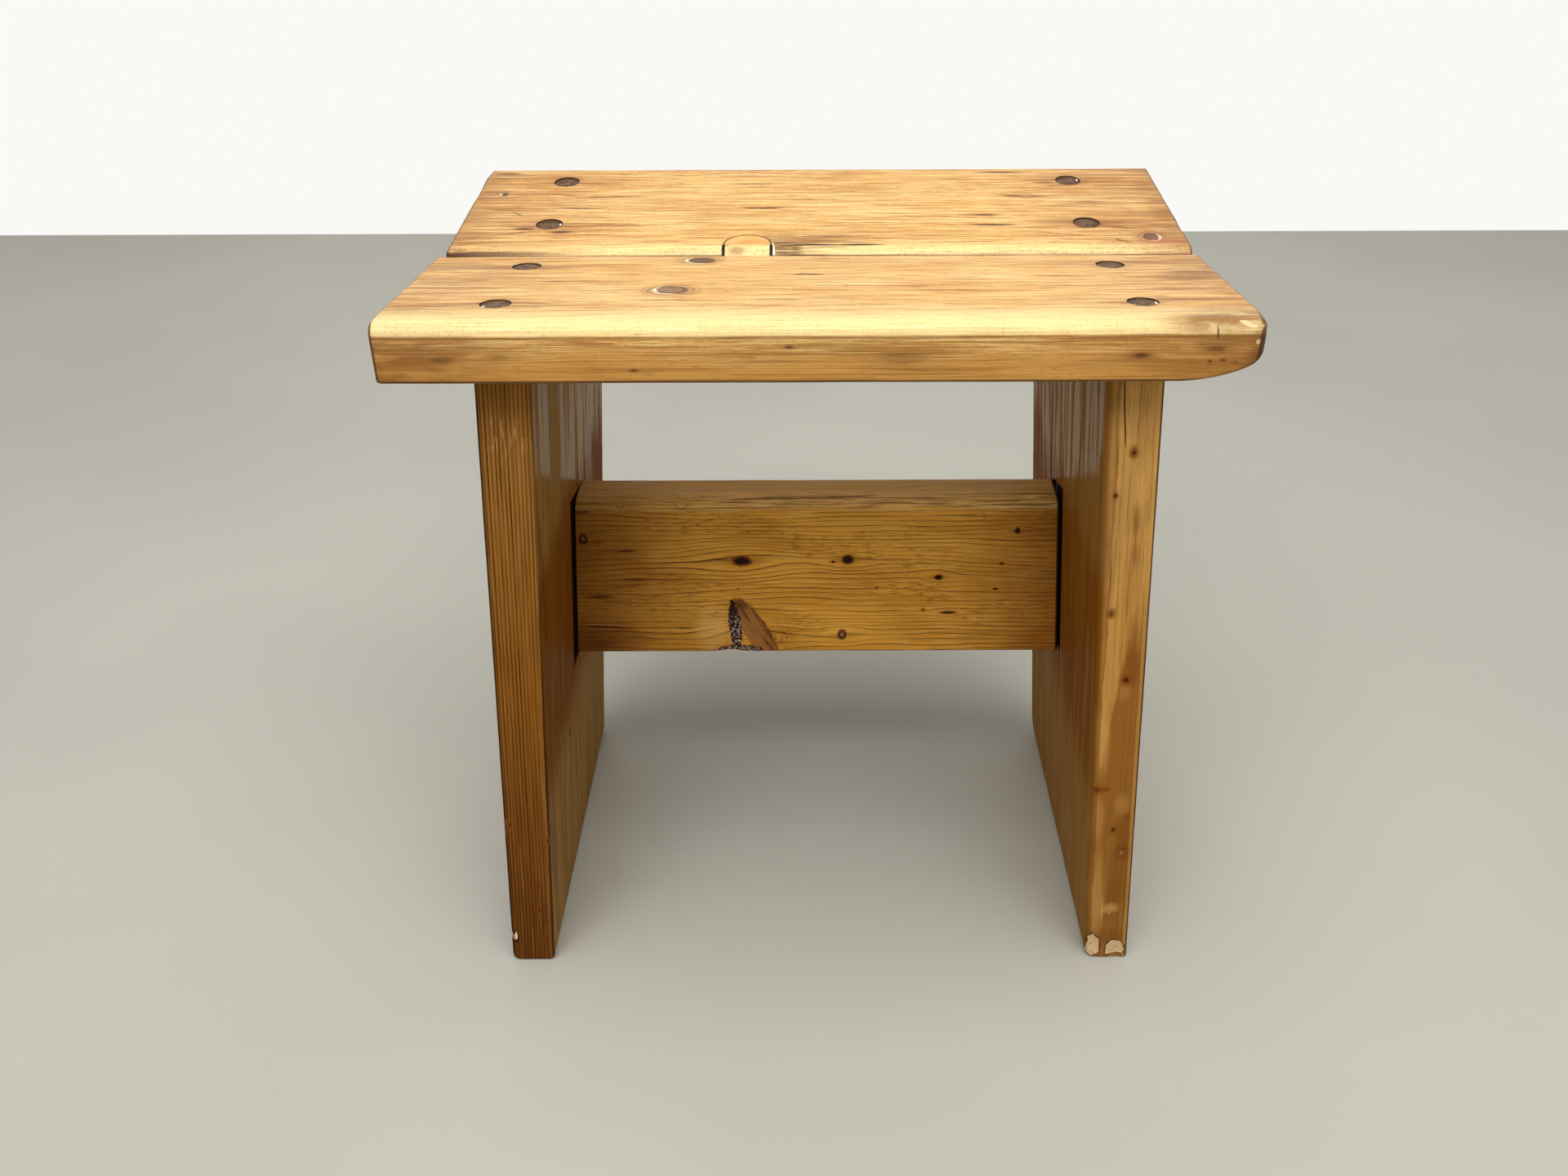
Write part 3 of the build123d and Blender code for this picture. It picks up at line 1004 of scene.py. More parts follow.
def front_board_marks(finish, ragged):
    """Worn front edge brightened partly by a painted highlight, the deeper front face with its small knots,
    the dark right corner, and painted shade at the gap and the bottom front arris.
    """
    colours = finish.colours
    mottle = finish.cloud((1.8, 1.6, 1.6), 19)
    wander = (finish.cloud((30, 4, 4), 18) - 0.5) * 0.5
    below_arris = (finish.through + wander * 2).ramp(-5.6, -7)
    facing = finish.turned_to(1, -0.6, -0.85)
    front = facing * below_arris
    # Pale band on the top near the front edge: partly wear, partly a painted highlight on the rounding.
    worn = finish.across.ramp(-100, -130) * mottle.ramp(0.25, 0.5, 0.6, 1) * front.flipped()
    finish.paint(colours.seat_pale, worn * 0.6)
    wavy_depth = finish.through + (finish.cloud((60, 5, 5), 17, 3) - 0.5) * 16
    deeper = wavy_depth.ramp(-6, -25, 0.1, 1.1)
    fine_lines = (finish.through / 1.35 + wander * 2).fraction().ramp(0.55, 0.9)
    deeper = deeper * fine_lines.ramp(0, 1, 0.75, 1.2)
    finish.paint(colours.front_face, front * deeper)
    left_end = finish.along.ramp(-120, -212, 0, 0.8)
    right_end = finish.along.ramp(120, 205, 0, 0.5)
    blotches = finish.cloud((26, 7, 7), 16, 3, 0.6)
    finish.paint(colours.stain, front * (left_end + right_end) * blotches.ramp(0.35, 0.6, 0.3, 1))
    specks = finish.cloud((9, 1.2, 1.2), 15).ramp(0.6, 0.72)
    finish.paint(colours.stain, front * specks * 0.3)
    long_streaks = finish.cloud((80, 2.2, 2.2), 14).ramp(0.48, 0.62, 0, 0.5)
    finish.paint(srgb(146, 96, 38), front * long_streaks)
    arris_line = front * (finish.through + wander * 2).ramp(-8.2, -7)
    finish.paint(srgb(128, 82, 34), arris_line * 0.6)

    corner = finish.distance((228, -140, -18), (36, 40, 20), place=ragged).ramp(1.0, 0.5)
    finish.paint(srgb(92, 56, 22), corner * 0.85)
    # Painted shade along the rear arris, at the gap between the boards.
    gap_arris = finish.distance((0, 0, 0), (endless, 2.2, 2.2)).ramp(1.1, 0.6, 0, 0.7)
    finish.paint(srgb(110, 64, 30), gap_arris)
    # Painted shade along the bottom front arris.
    under_arris = finish.distance((0, -front_board_width, -board_thickness), (endless, 1.8, 1.8))
    finish.paint(srgb(60, 34, 14), under_arris.ramp(1.1, 0.6, 0, 0.8))
    left_arris = (finish.along * -1 - finish.across * (end_taper / front_board_width)).ramp(209.6, 211)
    right_arris = (finish.along - finish.across * (end_taper / front_board_width)).ramp(208.6, 210)
    finish.paint(srgb(120, 74, 34), (left_arris + right_arris) * finish.off_the_ends(0.7))
    brown_top = finish.spot((194, -128, 0), (32, 13, 9), 1.1, place=ragged)
    finish.paint(srgb(140, 96, 44), brown_top * blotches.ramp(0.36, 0.56, 0.4, 0.9))
    brown = finish.spot((198, -42, 0), (24, 12, 8), 1.1, radians(30), place=ragged)
    brown_streaks = finish.cloud((24, 2, 3), 13, 3).ramp(0.4, 0.58, 0.15, 1)
    finish.paint(srgb(134, 88, 42), brown * brown_streaks * 0.9)
    for along, through, size, strength in FRONT_FACE_SPOTS:
        middle = (along, -front_board_width, through)
        distance = finish.distance(middle, (size, 5, max(size * 0.3, 1.1)))
        finish.paint(colours.stain, distance.ramp(1.6, 0.3, 0, min(strength, 1) * 0.7))
        finish.paint(colours.dirt, distance.ramp(0.7, 0.2, 0, min(strength, 1) * 0.8))
    crack = finish.spot((184.4, -133, -5.5), (0.5, 8, 2.8), 0.8)
    finish.paint(colours.dirt, crack * 0.8)
    # Pale bare chips at the right front corner, one of them a painted highlight.
    chip = strongest([finish.spot(middle, size, 0.3, radians(-18)) for middle, size in CORNER_CHIPS_AND_HIGHLIGHT])
    finish.paint(colours.bare_wood, chip)
    finish.sink(chip * 1.5)


def rear_board_marks(finish, ragged):
    """Pale worn front edge, the joint and old stain beside the let-in patch, the dark back edge, and
    painted shade where the front edge turns down into the gap.
    """
    colours = finish.colours
    mottle = finish.cloud((1.8, 1.6, 1.6), 29)
    edge = finish.distance((0, 1, 0), (endless, 8.5, 11)) + (finish.cloud((30, 4, 4), 28) - 0.5) * 0.3
    worn = edge.ramp(1.3, 0.75) * mottle.ramp(0.25, 0.6, 0.4, 1) * finish.along.ramp(-215, -60, 0.25, 0.55)
    finish.paint(colours.seat_pale, worn)
    stain = finish.spot((-9, 15, 0), (32, 10, 10), 1.2, place=ragged)
    dark_stain = finish.spot((-19, 6.5, 0), (9, 8, 10), 0.9, place=ragged)
    streaky = finish.cloud((26, 1.2, 3), 21, 3, 0.65).ramp(0.4, 0.6)
    finish.paint(srgb(120, 80, 30), stain * (streaky * 0.75 + 0.15))
    finish.paint(srgb(112, 72, 28), dark_stain * (streaky * 0.5 + 0.45))
    for along, half_length in ((-3, 15), (23, 14)):
        crack = finish.spot((along, 9.6, 0), (half_length, 1.1, 6), 0.9)
        finish.paint(srgb(52, 28, 12), crack * 0.95)
        finish.sink(crack * 2)
    sliver = finish.spot((-25.2, 4, -2), (0.8, 9, 9), 0.4, radians(5))
    finish.paint(srgb(255, 236, 196), sliver)
    reddish = finish.spot((200, 8, 0), (17, 10, 9), 1.2, place=ragged)
    finish.paint(srgb(176, 108, 66), reddish * (streaky * 0.5 + 0.3))
    finish.paint(colours.stain, finish.across.ramp(92, 126, 0, 0.22) * streaky)
    left_end = finish.along.ramp(-186, -209, 0, 0.4)
    right_end = finish.along.ramp(190, 209, 0, 0.55)
    finish.paint(colours.stain, (left_end + right_end) * streaky.ramp(0, 1, 0.55, 1))
    behind = finish.across.ramp(rear_board_width - 1.6, rear_board_width - 0.8)
    left_arris = finish.along.ramp(-206.9, -208.2)
    right_arris = finish.along.ramp(208.9, 210.2)
    edges = (left_arris + right_arris + behind).at_most(1)
    finish.paint(srgb(112, 70, 34), edges * finish.off_the_ends(0.75))
    # Painted shade on the rounding where it turns down into the gap.
    round_edge = finish.turned_to(1, -0.75, -0.97)
    finish.paint(srgb(118, 64, 34), round_edge * 0.85)
    joint = patch_joint(finish)
    finish.paint(srgb(22, 10, 4), joint)
    # Painted shade deep in the gap, and on the front face seen through the wider gap at the left.
    in_the_gap = finish.turned_to(1, -0.7, -0.78)
    wide_gap = finish.turned_to(1, -0.45, -0.55) * finish.along.ramp(-120, -205)
    finish.paint(srgb(74, 32, 16), in_the_gap.at_least(wide_gap) * 0.9)
    finish.sink(joint)


def patch_joint(finish):
    """Dark line round the let-in patch, broad at its straight sides and fine round its arc."""
    round_part = finish.distance((patch_place, patch_reach, 0), (patch_radius, patch_radius, 60))
    straight_part = (finish.along - patch_place).size() / patch_radius
    at_edge = finish.across.ramp(patch_reach + 1, patch_reach - 1)
    outline = round_part * at_edge.flipped() + straight_part * at_edge
    beside = (outline - 1).size()
    half_width = at_edge.ramp(0, 1, 0.022, 0.055)
    line = beside.ramp(half_width + 0.025, half_width) * at_edge.ramp(0, 1, 0.75, 1)
    return line * finish.through.ramp(-patch_depth - 2, -patch_depth)


# Seat boards

def front_board_plank():
    """Front board: tapered a little to the front, its right front corner worn round and thin."""
    sizes = bpy.context.scene.stool_sizes
    low, high = node_box("seat_board_front")
    front_edge = sizes.front_edge_radius / MM
    limits = (low.x, high.x), (-front_board_width + worn_edge_depth, 0), (-board_thickness, 0)
    line_radii = ((1.5,), (10, 5, 1.5)), ((front_edge, 1.2), (3, 1.2)), ((1.2, 5), (front_edge, 3, 1.5))

    def edge_radius(along, across_side, through_side):
        wave = edge_wave(along, across_side, through_side, 33)
        worn = blend_share(along, high.x - 46, high.x - 4)
        if across_side < 0 and through_side > 0:
            return front_edge + 0.8 * wave + 2 * worn
        if across_side > 0 and through_side > 0:
            return 3 + 0.6 * wave
        return 1.2 + 0.4 * wave + (2 * worn if across_side < 0 else 0)

    def end_radius(end, across):
        wave = end_wave(across, end, 7)
        if end > 0:
            return 1.4 + wave + 4.5 * blend_share(across, -108, -front_board_width)
        return 1.4 + wave + 1.2 * blend_share(across, -118, -front_board_width)

    def wear(along, across, through):
        point = (along, across, through)
        depth = uneven(along, across, through, 3.1, sizes.unevenness / MM)
        depth += dent(point, (high.x - 7, -front_board_width, 0), (9, 5, 6), 0.8)
        depth += dent(point, (high.x - 1, -126, -9), (4, 9, 4), 0.7)
        depth += dent(point, (184.6, -front_board_width, -2), (2.2, 6, 7), 0.8)
        depth += dent(point, (-70, -front_board_width, 0), (22, 6, 5), 0.4)
        depth += dent(point, (low.x, -60, 0), (5, 16, 6), 0.4)
        return depth

    def bent(along, across, through):
        share_to_front = -across / front_board_width
        end_share = along / high.x
        taper = end_taper * share_to_front + (0 if along < 0 else 1)
        along -= taper * end_share * abs(end_share) ** 3
        from_end = min(max((high.x - 3 - along) / worn_corner_length, 0), 1)
        rise = worn_corner_rise * (1 - (1 - (1 - from_end) ** 2) ** 0.5)
        rise *= blend_share(across, -76, -front_board_width + 4)
        through *= (board_thickness - rise) / board_thickness
        return along, across, through

    return Plank("front_seat_board", front_frame, limits, line_radii, edge_radius, end_radius, wear, bent)


def rear_board_plank():
    """Rear board, its front top edge worn to a broad round and its back left corner rounded."""
    sizes = bpy.context.scene.stool_sizes
    low, high = node_box("seat_board_rear")
    limits = (low.x, high.x), (0, rear_board_width - worn_edge_depth), (-board_thickness, 0)
    line_radii = ((4, 1.5), (1.5,)), ((9, 1.5), (2, 1.2)), ((1.2,), (9, 2))

    def edge_radius(along, across_side, through_side):
        wave = edge_wave(along, across_side, through_side, 37, 9)
        if through_side > 0 and across_side < 0:
            return 9 + 0.6 * wave - 6 * blend_share(along, low.x + 14, low.x + 1)
        if through_side > 0:
            return 2 + 0.6 * wave
        return 1.2 + 0.4 * wave

    def end_radius(end, across):
        wave = end_wave(across, end, 3)
        if end < 0:
            return 1.4 + wave + 2.4 * blend_share(across, 112, rear_board_width)
        return 1.4 + wave

    def wear(along, across, through):
        point = (along, across, through)
        depth = uneven(along, across, through, 8.7, sizes.unevenness / MM)
        depth += dent(point, (-6, 0, -2), (16, 8, 8), 0.5)
        depth += dent(point, (high.x, 34, 0), (5, 12, 6), 0.4)
        depth += dent(point, (low.x, 90, 0), (5, 20, 6), 0.4)
        return depth

    return Plank("rear_seat_board", rear_frame, limits, line_radii, edge_radius, end_radius, wear)


def patch_block(radius, top):
    """Half-round block from above the rear board down to the pocket's floor."""
    outline = [(patch_place - radius, -30), (patch_place + radius, -30)]
    for step in range(patch_arc_steps + 1):
        angle = pi * step / patch_arc_steps
        outline.append((patch_place + radius * cos(angle), patch_reach + radius * sin(angle)))
    count = len(outline)
    heights = (-patch_depth, top)
    points = [rear_frame @ Vector((*place, height)) * MM for height in heights for place in outline]
    faces = []
    for index in range(count):
        after = (index + 1) % count
        faces.append([index, after, count + after, count + index])
    faces.append(list(range(count))[::-1])
    faces.append(list(range(count, 2 * count)))
    return new_piece("patch_block", points, faces)


class STOOL_OT_seat_boards(Operator):
    """Build the two seat boards with their dowel holes and the pocket for the patch"""

    bl_idname = "stool.seat_boards"
    bl_label = "Seat boards"

    def execute(self, context):
        sizes = context.scene.stool_sizes
        front = cut(front_board_plank().build(), seat_holes(FRONT_DOWELS))
        front_material = seat_finish(
            "front_board_pine",
            front_frame,
            FRONT_DOWELS,
            FRONT_BOARD_STREAKS,
            FRONT_KNOTS,
            front_board_marks,
            pith=(-90, -120),
            ring_spacing=sizes.front_ring_spacing / MM,
            seed=1,
        )
        fit_piece(front, front_material, "seat_pine", "seat_board_front")
        rear = cut(rear_board_plank().build(), seat_holes(REAR_DOWELS))
        cut(rear, patch_block(patch_radius, 10))
        rear_material = seat_finish(
            "rear_board_pine",
            rear_frame,
            REAR_DOWELS,
            REAR_BOARD_STREAKS,
            REAR_KNOTS,
            rear_board_marks,
            pith=(175, -100),
            ring_spacing=sizes.rear_ring_spacing / MM,
            seed=2,
        )
        fit_piece(rear, rear_material, "seat_pine", "seat_board_rear")
        return {"FINISHED"}


class STOOL_OT_edge_patch(Operator):
    """Build the half-round patch in the rear board's front edge"""

    bl_idname = "stool.edge_patch"
    bl_label = "Let-in patch"

    def execute(self, context):
        plank = rear_board_plank()
        plank.name = "let_in_patch"
        plank.limits = ((patch_place - 20, patch_place + 20), (0, 40), (-board_thickness, 0))
        plank.step = patch_mesh_step
        patch = cut(plank.build(), patch_block(patch_radius - patch_joint_width, 10), "INTERSECT")
        fit_piece(patch, patch_finish(), "seat_pine", "edge_patch")
        return {"FINISHED"}


def patch_finish():
    """Pine of the let-in patch, browner at the top and pale where the edge is worn."""
    finish = Finish("patch_pine", rear_frame)
    colours = finish.colours
    line, band, _ = growth_rings(finish, (60, -30), 2.4, 2)
    fibre = finish.cloud((16, 0.7, 0.7), 31, 3, 0.65)
    patches = finish.cloud((14, 5, 5), 32)
    mottle = finish.cloud((2, 1.5, 1.5), 33, 2, 0.6)
    finish.colour = finish.mix(colours.seat_wood, colours.seat_deep, patches.ramp(0.35, 0.65, 0.2, 0.9))
    finish.height = fibre + band * 0.4
    finish.paint(colours.seat_line, line * 0.5 + band * 0.2)
    finish.paint(colours.seat_line, fibre.ramp(0.48, 0.72, 0, 0.5))
    worn = (finish.across + (patches - 0.5) * 8).ramp(10, 7)
    finish.paint(colours.seat_pale, worn * mottle.ramp(0.3, 0.6, 0.35, 0.75))
    smudge = finish.spot((-46, 5, 0), (4.4, 2.4, 12), 1.1)
    finish.paint(colours.stain, smudge * 0.6)
    finish.paint(srgb(22, 10, 4), patch_joint(finish))
    return finish.surface(0.1, patches.ramp(0.3, 0.7, 0.4, 0.52), 0.16, 0.08, 0.25)


# Legs

# Where the planks of a leg begin and end, from front to rear
LEG_SPANS = {
    "front": (leg_front_y, seam_y - leg_seam_play),
    "rear": (seam_y + leg_seam_play, leg_rear_y),
}


def rounded_corner(distance_to_side, radius):
    """How far a corner of the foot is lifted at a distance from the leg's side."""
    inset = min(max(radius - distance_to_side, 0), radius)
    return radius - (radius**2 - inset**2) ** 0.5


def leg_plank(side_name, part):
    """One plank of a leg, its foot cut level and its top cut to the boards."""
    side = SIDES[side_name]
    front_y, rear_y = LEG_SPANS[part]
    through = (-leg_thickness, 0) if side > 0 else (0, leg_thickness)
    height = node_box(f"{side_name}_leg_{part}_plank")[1].z
    length = height / cos(leg_lean)
    limits = (0, length), (front_y, rear_y), through
    arris = 1.2
    seed = 11.3 if side > 0 else 17.9
    sizes = bpy.context.scene.stool_sizes
    is_front = part == "front"
    worn_foot = 14 if side > 0 and not is_front else 0
    outer_corner, inner_corner = (6, 4) if side < 0 else (1.5, 7)

    def edge_radius(along, across_side, through_side):
        wave = edge_wave(along, across_side, through_side, 27, seed)
        outside = across_side < 0 if is_front else across_side > 0
        if not outside:
            return 0.6 + 0.3 * wave
        if is_front and side > 0 and through_side == side:
            return 5 + 2 * wave
        return arris + 0.5 * wave

    def end_radius(end, across):
        if end > 0:
            return 0.8
        return 1.4 + 2.2 * abs(noise.noise(Vector((across / 13, seed, 0))))

    def wear(along, across, through):
        point = (along, across, through)
        depth = uneven(along, across, through, seed + len(part), sizes.unevenness / MM)
        if is_front and side > 0:
            depth += dent(point, (10, front_y, -6.5), (13, 4, 6.5), 1.5)
            depth += dent(point, (7, front_y, -20.5), (11, 4, 6.5), 1.4)
        if is_front and side < 0:
            depth += dent(point, (20, front_y, leg_thickness), (5, 4, 4), 1.6)
            depth += dent(point, (200, front_y, 0), (26, 4, 4), 0.4)
        return depth

    def bent(along, across, through):
        share = along / length
        foot = side * through * tan(leg_lean)
        foot += rounded_corner(abs(through), inner_corner)
        foot += rounded_corner(leg_thickness - abs(through), outer_corner)
        if worn_foot:
            foot += rounded_corner(rear_y - across, worn_foot)
        top_z = leg_top_centre + abs(across - gap_middle) * tan(seat_tilt)
        top = (top_z + side * through * sin(leg_lean)) / cos(leg_lean) - 0.15
        return foot + share * (top - foot), across, through

    front_radii = (6, arris) if is_front else (0.7,)
    rear_radii = (0.7,) if is_front else (14, arris)
    line_radii = ((3, 1.4), (0.8,)), (front_radii, rear_radii), ((6, arris), (6, arris))
    name = f"{side_name}_{part}_leg_plank"
    return Plank(name, leg_frame(side), limits, line_radii, edge_radius, end_radius, wear, bent)


def groove_block(side):
    """Block that cuts the shallow groove at the stretcher's end into the planks of a leg."""
    low, high = groove_reach
    deep, clear = sorted((-side * groove_depth[side], side * 4))
    along = (low / cos(leg_lean), high / cos(leg_lean))
    front, rear = seam_y - groove_width[side], seam_y + stretcher_thickness + 0.2
    corners, quads = hull_grid([along, (front, rear), (deep, clear)])
    rises = dict(zip(along, groove_front_rise))
    turned = leg_frame(side)
    points = []
    for up, back, through in corners:
        rise = rises[up] if back == front else 0
        points.append(turned @ Vector((up + rise, back, through)) * MM)
    return new_piece("groove_block", points, quads)


LEFT_LEG_KNOTS = [
    # up the grain, distance from the inner arris, half length, half width, darkness, halo
    (124, 24.4, 3.4, 1.6, 0.9, 2.2),
    (121, 26.6, 6, 0.8, 0.7, 1.4),
    (111.8, 1.3, 3.2, 1.2, 0.8, 2.0),
    (48, 9, 5, 0.7, 0.8, 1.6),
    (30, 4, 4, 0.7, 0.6, 1.6),
]
RIGHT_LEG_KNOTS = [
    (383, 14.6, 3.0, 2.0, 0.8, 2.0),
    (358.6, 6.3, 1.7, 1.3, 1.0, 2.4),
    (284, 7, 3.0, 2.2, 0.75, 1.8),
    (237, 17.2, 3.2, 2.8, 0.9, 2.2),
    (152.5, 3.4, 2.4, 3.2, 0.7, 2.0),
    (153, 8.8, 1.8, 2.4, 0.5, 1.8),
    (118.6, 14.7, 2.6, 2.0, 1.0, 2.6),
    (128.4, 22.6, 2.6, 1.6, 0.35, 2.0),
    (56, 27, 3.6, 0.6, 0.9, 1.4),
]


def leg_knots(finish, knots):
    """Draw a leg's small knots and streaks on its front edge."""
    side = side_of(finish.turned.translation)
    for up, outward, half_length, half_width, dark, halo in knots:
        wobble = (finish.cloud((4, 4, 3), up * 0.07) - 0.5) * 0.7
        middle = (up, leg_front_y, -side * outward)
        distance = finish.distance(middle, (half_length, 8, half_width)) + wobble
        finish.paint(srgb(140, 82, 26), distance.ramp(halo, 0.9, 0, 0.5))
        finish.paint(srgb(122, 66, 24), distance.ramp(1.15, 0.85, 0, dark * 0.75))
        finish.paint(srgb(62, 26, 12), distance.ramp(0.65, 0.2, 0, dark))
        finish.sink(distance.ramp(1.1, 0.6) * 0.4)


def inside_outline(finish, corners):
    """Depth in millimetres inside a convex outline of (up, outward) corners on a leg's front edge."""
    side = side_of(finish.turned.translation)
    outward = finish.through * -side
    ragged = (finish.cloud((2.6, 2.6, 2.6), 47) - 0.5) * 2.4
    depth = None
    for start, stop in zip(corners, corners[1:] + corners[:1]):
        length = hypot(stop[0] - start[0], stop[1] - start[1])
        slope_up, slope_out = (start[1] - stop[1]) / length, (stop[0] - start[0]) / length
        one = (finish.along - start[0]) * slope_up + (outward - start[1]) * slope_out
        depth = one if depth is None else depth.at_most(one)
    behind_front = finish.across.ramp(leg_front_y + 4, leg_front_y + 5, 0, 100)
    return depth + ragged - behind_front


def leg_finish(name, side, pith, ring_spacing, line_share, seed, marks):
    """Amber varnished pine of a leg plank, with fine dark lines, an uneven shine, a pale painted reflection
    on the inner face and painted shade beneath the seat.
    """
    finish = Finish(name, leg_frame(side))
    colours = finish.colours
    wood = colours.right_leg_wood if side > 0 else colours.left_leg_wood
    line, band, ring_random = growth_rings(finish, pith, ring_spacing, 1.4)
    fade = finish.cloud((60, 9, 9), seed + 6)
    fibre = finish.cloud((60, 0.8, 0.8), seed + 1, 3, 0.65)
    hair = finish.cloud((11, 0.4, 0.4), seed + 5, 2, 0.6)
    columns = finish.cloud((120, 9, 9), seed + 2, 3, 0.5)
    patches = finish.cloud((60, 14, 14), seed + 3, 3, 0.55)
    finish.colour = finish.mix(wood, colours.leg_deep, patches.ramp(0.44, 0.68, 0, 0.5))
    drifting_height = finish.along + (patches - 0.5) * 70
    finish.paint(srgb(102, 56, 18), drifting_height.ramp(300, 10, 0, 0.85 if side < 0 else 0.45))
    finish.paint(srgb(232, 184, 112), drifting_height.ramp(250, 400, 0, 0.14 if side < 0 else 0.4))
    lines = (line * 1.1 + band * 0.7).at_most(1) * (ring_random * 0.45 + 0.55)
    finish.paint(colours.leg_line, lines * fade.ramp(0.3, 0.6, 0.65, 1) * line_share)
    finish.paint(colours.leg_line, fibre.ramp(0.5, 0.7, 0, 0.5))
    finish.paint(colours.leg_pale, fibre.ramp(0.48, 0.28, 0, 0.25))
    finish.paint(colours.leg_line, hair.ramp(0.55, 0.78, 0, 0.3))
    # Inner face: a pale painted reflection of the surroundings, in streaky columns above and below the
    # stretcher, and plain brown beside it.
    inner = finish.turned_to(2, side * 0.3, side * 0.8)
    inner_share = columns.ramp(0.47, 0.52, 0.55 if side < 0 else 0.88, 1)
    beside_stretcher = finish.along.ramp(120, 175) * finish.along.ramp(325, 290)
    painted_reflection = srgb(160, 122, 64) if side < 0 else srgb(146, 104, 48)
    inner_colour = finish.mix(painted_reflection, colours.leg_inner, beside_stretcher)
    finish.paint(inner_colour, inner * inner_share)
    # Painted shade at the top of the leg, beneath the seat, in the colour of the grain lines.
    under_seat = drifting_height.ramp(385, 425, 0, 0.3)
    finish.paint(colours.leg_line, under_seat)
    finish.height = (band * 0.35 + fibre * 0.6) * (inner * -0.7 + 1)
    marks(finish)
    finish.paint(colours.dirt, finish.end_grain(0.55, 0.9, 0.8, 0.5))
    shiny = finish.along.ramp(240, 330)
    roughness = (columns - shiny * 0.06).ramp(0.44, 0.5, shiny.ramp(0, 1, 0.4, 0.2), 0.6)
    return finish.surface(0.12, roughness, 0.014, 0.0, 0.1)


def arris_line(finish, across, through, radius):
    """Distance from a long edge of the leg, in radii."""
    return finish.distance((0, across, through), (endless, radius, radius))


RIGHT_LEG_BROWN = [
    # up the grain, distance from the inner arris, half length, half width, strength
    (342, 18, 9, 1.8, 0.6),
    (322, 18.5, 8, 1.6, 0.5),
    (300, 17, 22, 4, 0.25),
    (245, 20.5, 13, 4.2, 0.6),
    (395, 20, 20, 6, 0.25),
    (112, 22, 14, 5, 0.5),
    (66, 17, 30, 7, 0.45),
    (20, 17, 8, 12, 0.6),
]
RIGHT_LEG_PALE = [
    (228, 17, 6, 3.2, 0.22),
    (368, 8, 8, 3, 0.4),
    (196, 6, 26, 3.4, 0.55),
    (128, 5, 18, 3.0, 0.4),
    (60, 6, 34, 4.0, 0.45),
    (140, 19, 8, 4, 0.3),
    (47.4, 15.2, 4, 5, 0.6),
    (46, 10, 11, 0.5, 0.7),
]
FOOT_CHIPS = [
    # corners of each chip: up the grain, distance from the inner arris
    [(24, 4.6), (17.5, 9.2), (4, 9.6), (1.4, 4), (3, 0.6), (14, 1.2), (20, 2.2)],
    [(16.5, 19), (14.5, 23.5), (10, 25.6), (2.2, 26), (2.6, 13.2), (11, 13.8), (15, 16)],
]


def right_front_marks(finish):
    """Worn inner arris, patches, knots, drying check and bare chips of the right leg's front edge, with a
    painted highlight strip and painted shade along its outer arris.
    """
    colours = finish.colours
    outward = finish.through * -1
    front = finish.across.ramp(leg_front_y + 4, leg_front_y + 1.5)
    wander = finish.cloud((26, 3, 3), 43) - 0.5
    beyond_slope = (outward - finish.along * 0.135 + 18.7 + wander * 3).ramp(-0.6, 1.6)
    brown = beyond_slope * finish.along.ramp(290, 250) * finish.along.ramp(40, 130, 0.35, 1)
    finish.paint(colours.leg_deep, brown * front * 0.75)
    shades = [(RIGHT_LEG_BROWN, srgb(126, 72, 22), 1.4), (RIGHT_LEG_PALE, colours.leg_pale, 1.3)]
    for table, colour, soft in shades:
        for up, out, half_length, half_width, strength in table:
            shade = finish.spot((up, leg_front_y, -out), (half_length, 8, half_width), soft)
            finish.paint(colour, shade * strength)
    # Painted highlight: a pale strip where the front face rounds toward the outer side.
    strip = (outward + wander * 1.4).ramp(24.4, 25.2) * (outward + wander).ramp(27.2, 26.8) * front
    finish.paint(colours.leg_pale, strip * 0.4)
    narrowing = finish.along.ramp(40, 400, 1.8, 1.0)
    inner_arris = arris_line(finish, leg_front_y, 0, 6) * narrowing + wander * 0.7
    finish.paint(colours.leg_inner, inner_arris.ramp(1.1, 0.9, 0, 0.4))
    rim = inner_arris.ramp(0.86, 1.0) * inner_arris.ramp(1.16, 1.03)
    finish.paint(colours.leg_line, rim * 0.35)
    # Dark line along the outer arris: painted shade and dark finish.
    outer_arris = arris_line(finish, leg_front_y, -leg_thickness, 1.6)
    finish.paint(colours.dirt, outer_arris.ramp(1.0, 0.6, 0, 0.85))
    leg_knots(finish, RIGHT_LEG_KNOTS)

    ring = finish.distance((98, leg_front_y, -20.6), (5.6, 8, 4.6)) + wander * 0.5
    circles = (ring * 2.4).fraction().ramp(0.5, 0.85) * ring.ramp(1.3, 1.1)
    finish.paint(srgb(84, 38, 12), circles * 0.9)
    finish.paint(srgb(196, 140, 72), ring.ramp(0.4, 0.2) * 0.5)
    crooked = (finish.cloud((14, 9, 9), 46) - 0.5) * 1.6
    check_side = outward - 9.1 + (finish.along - 404) * 0.045 + crooked
    check = check_side.size().ramp(0.55, 0.2) * finish.along.ramp(383, 392) * front
    finish.paint(srgb(58, 28, 8), check * 0.9)
    specks = finish.cloud((1.6, 1.2, 1.2), 48, 1).ramp(0.66, 0.72)
    scratched = finish.spot((45, leg_front_y, -13), (10, 8, 6), 0.8)
    finish.paint(srgb(238, 214, 170), specks * scratched * 0.8)

    foot_chips(finish)
    stretcher_groove(finish)
    finish.sink(check * 2)


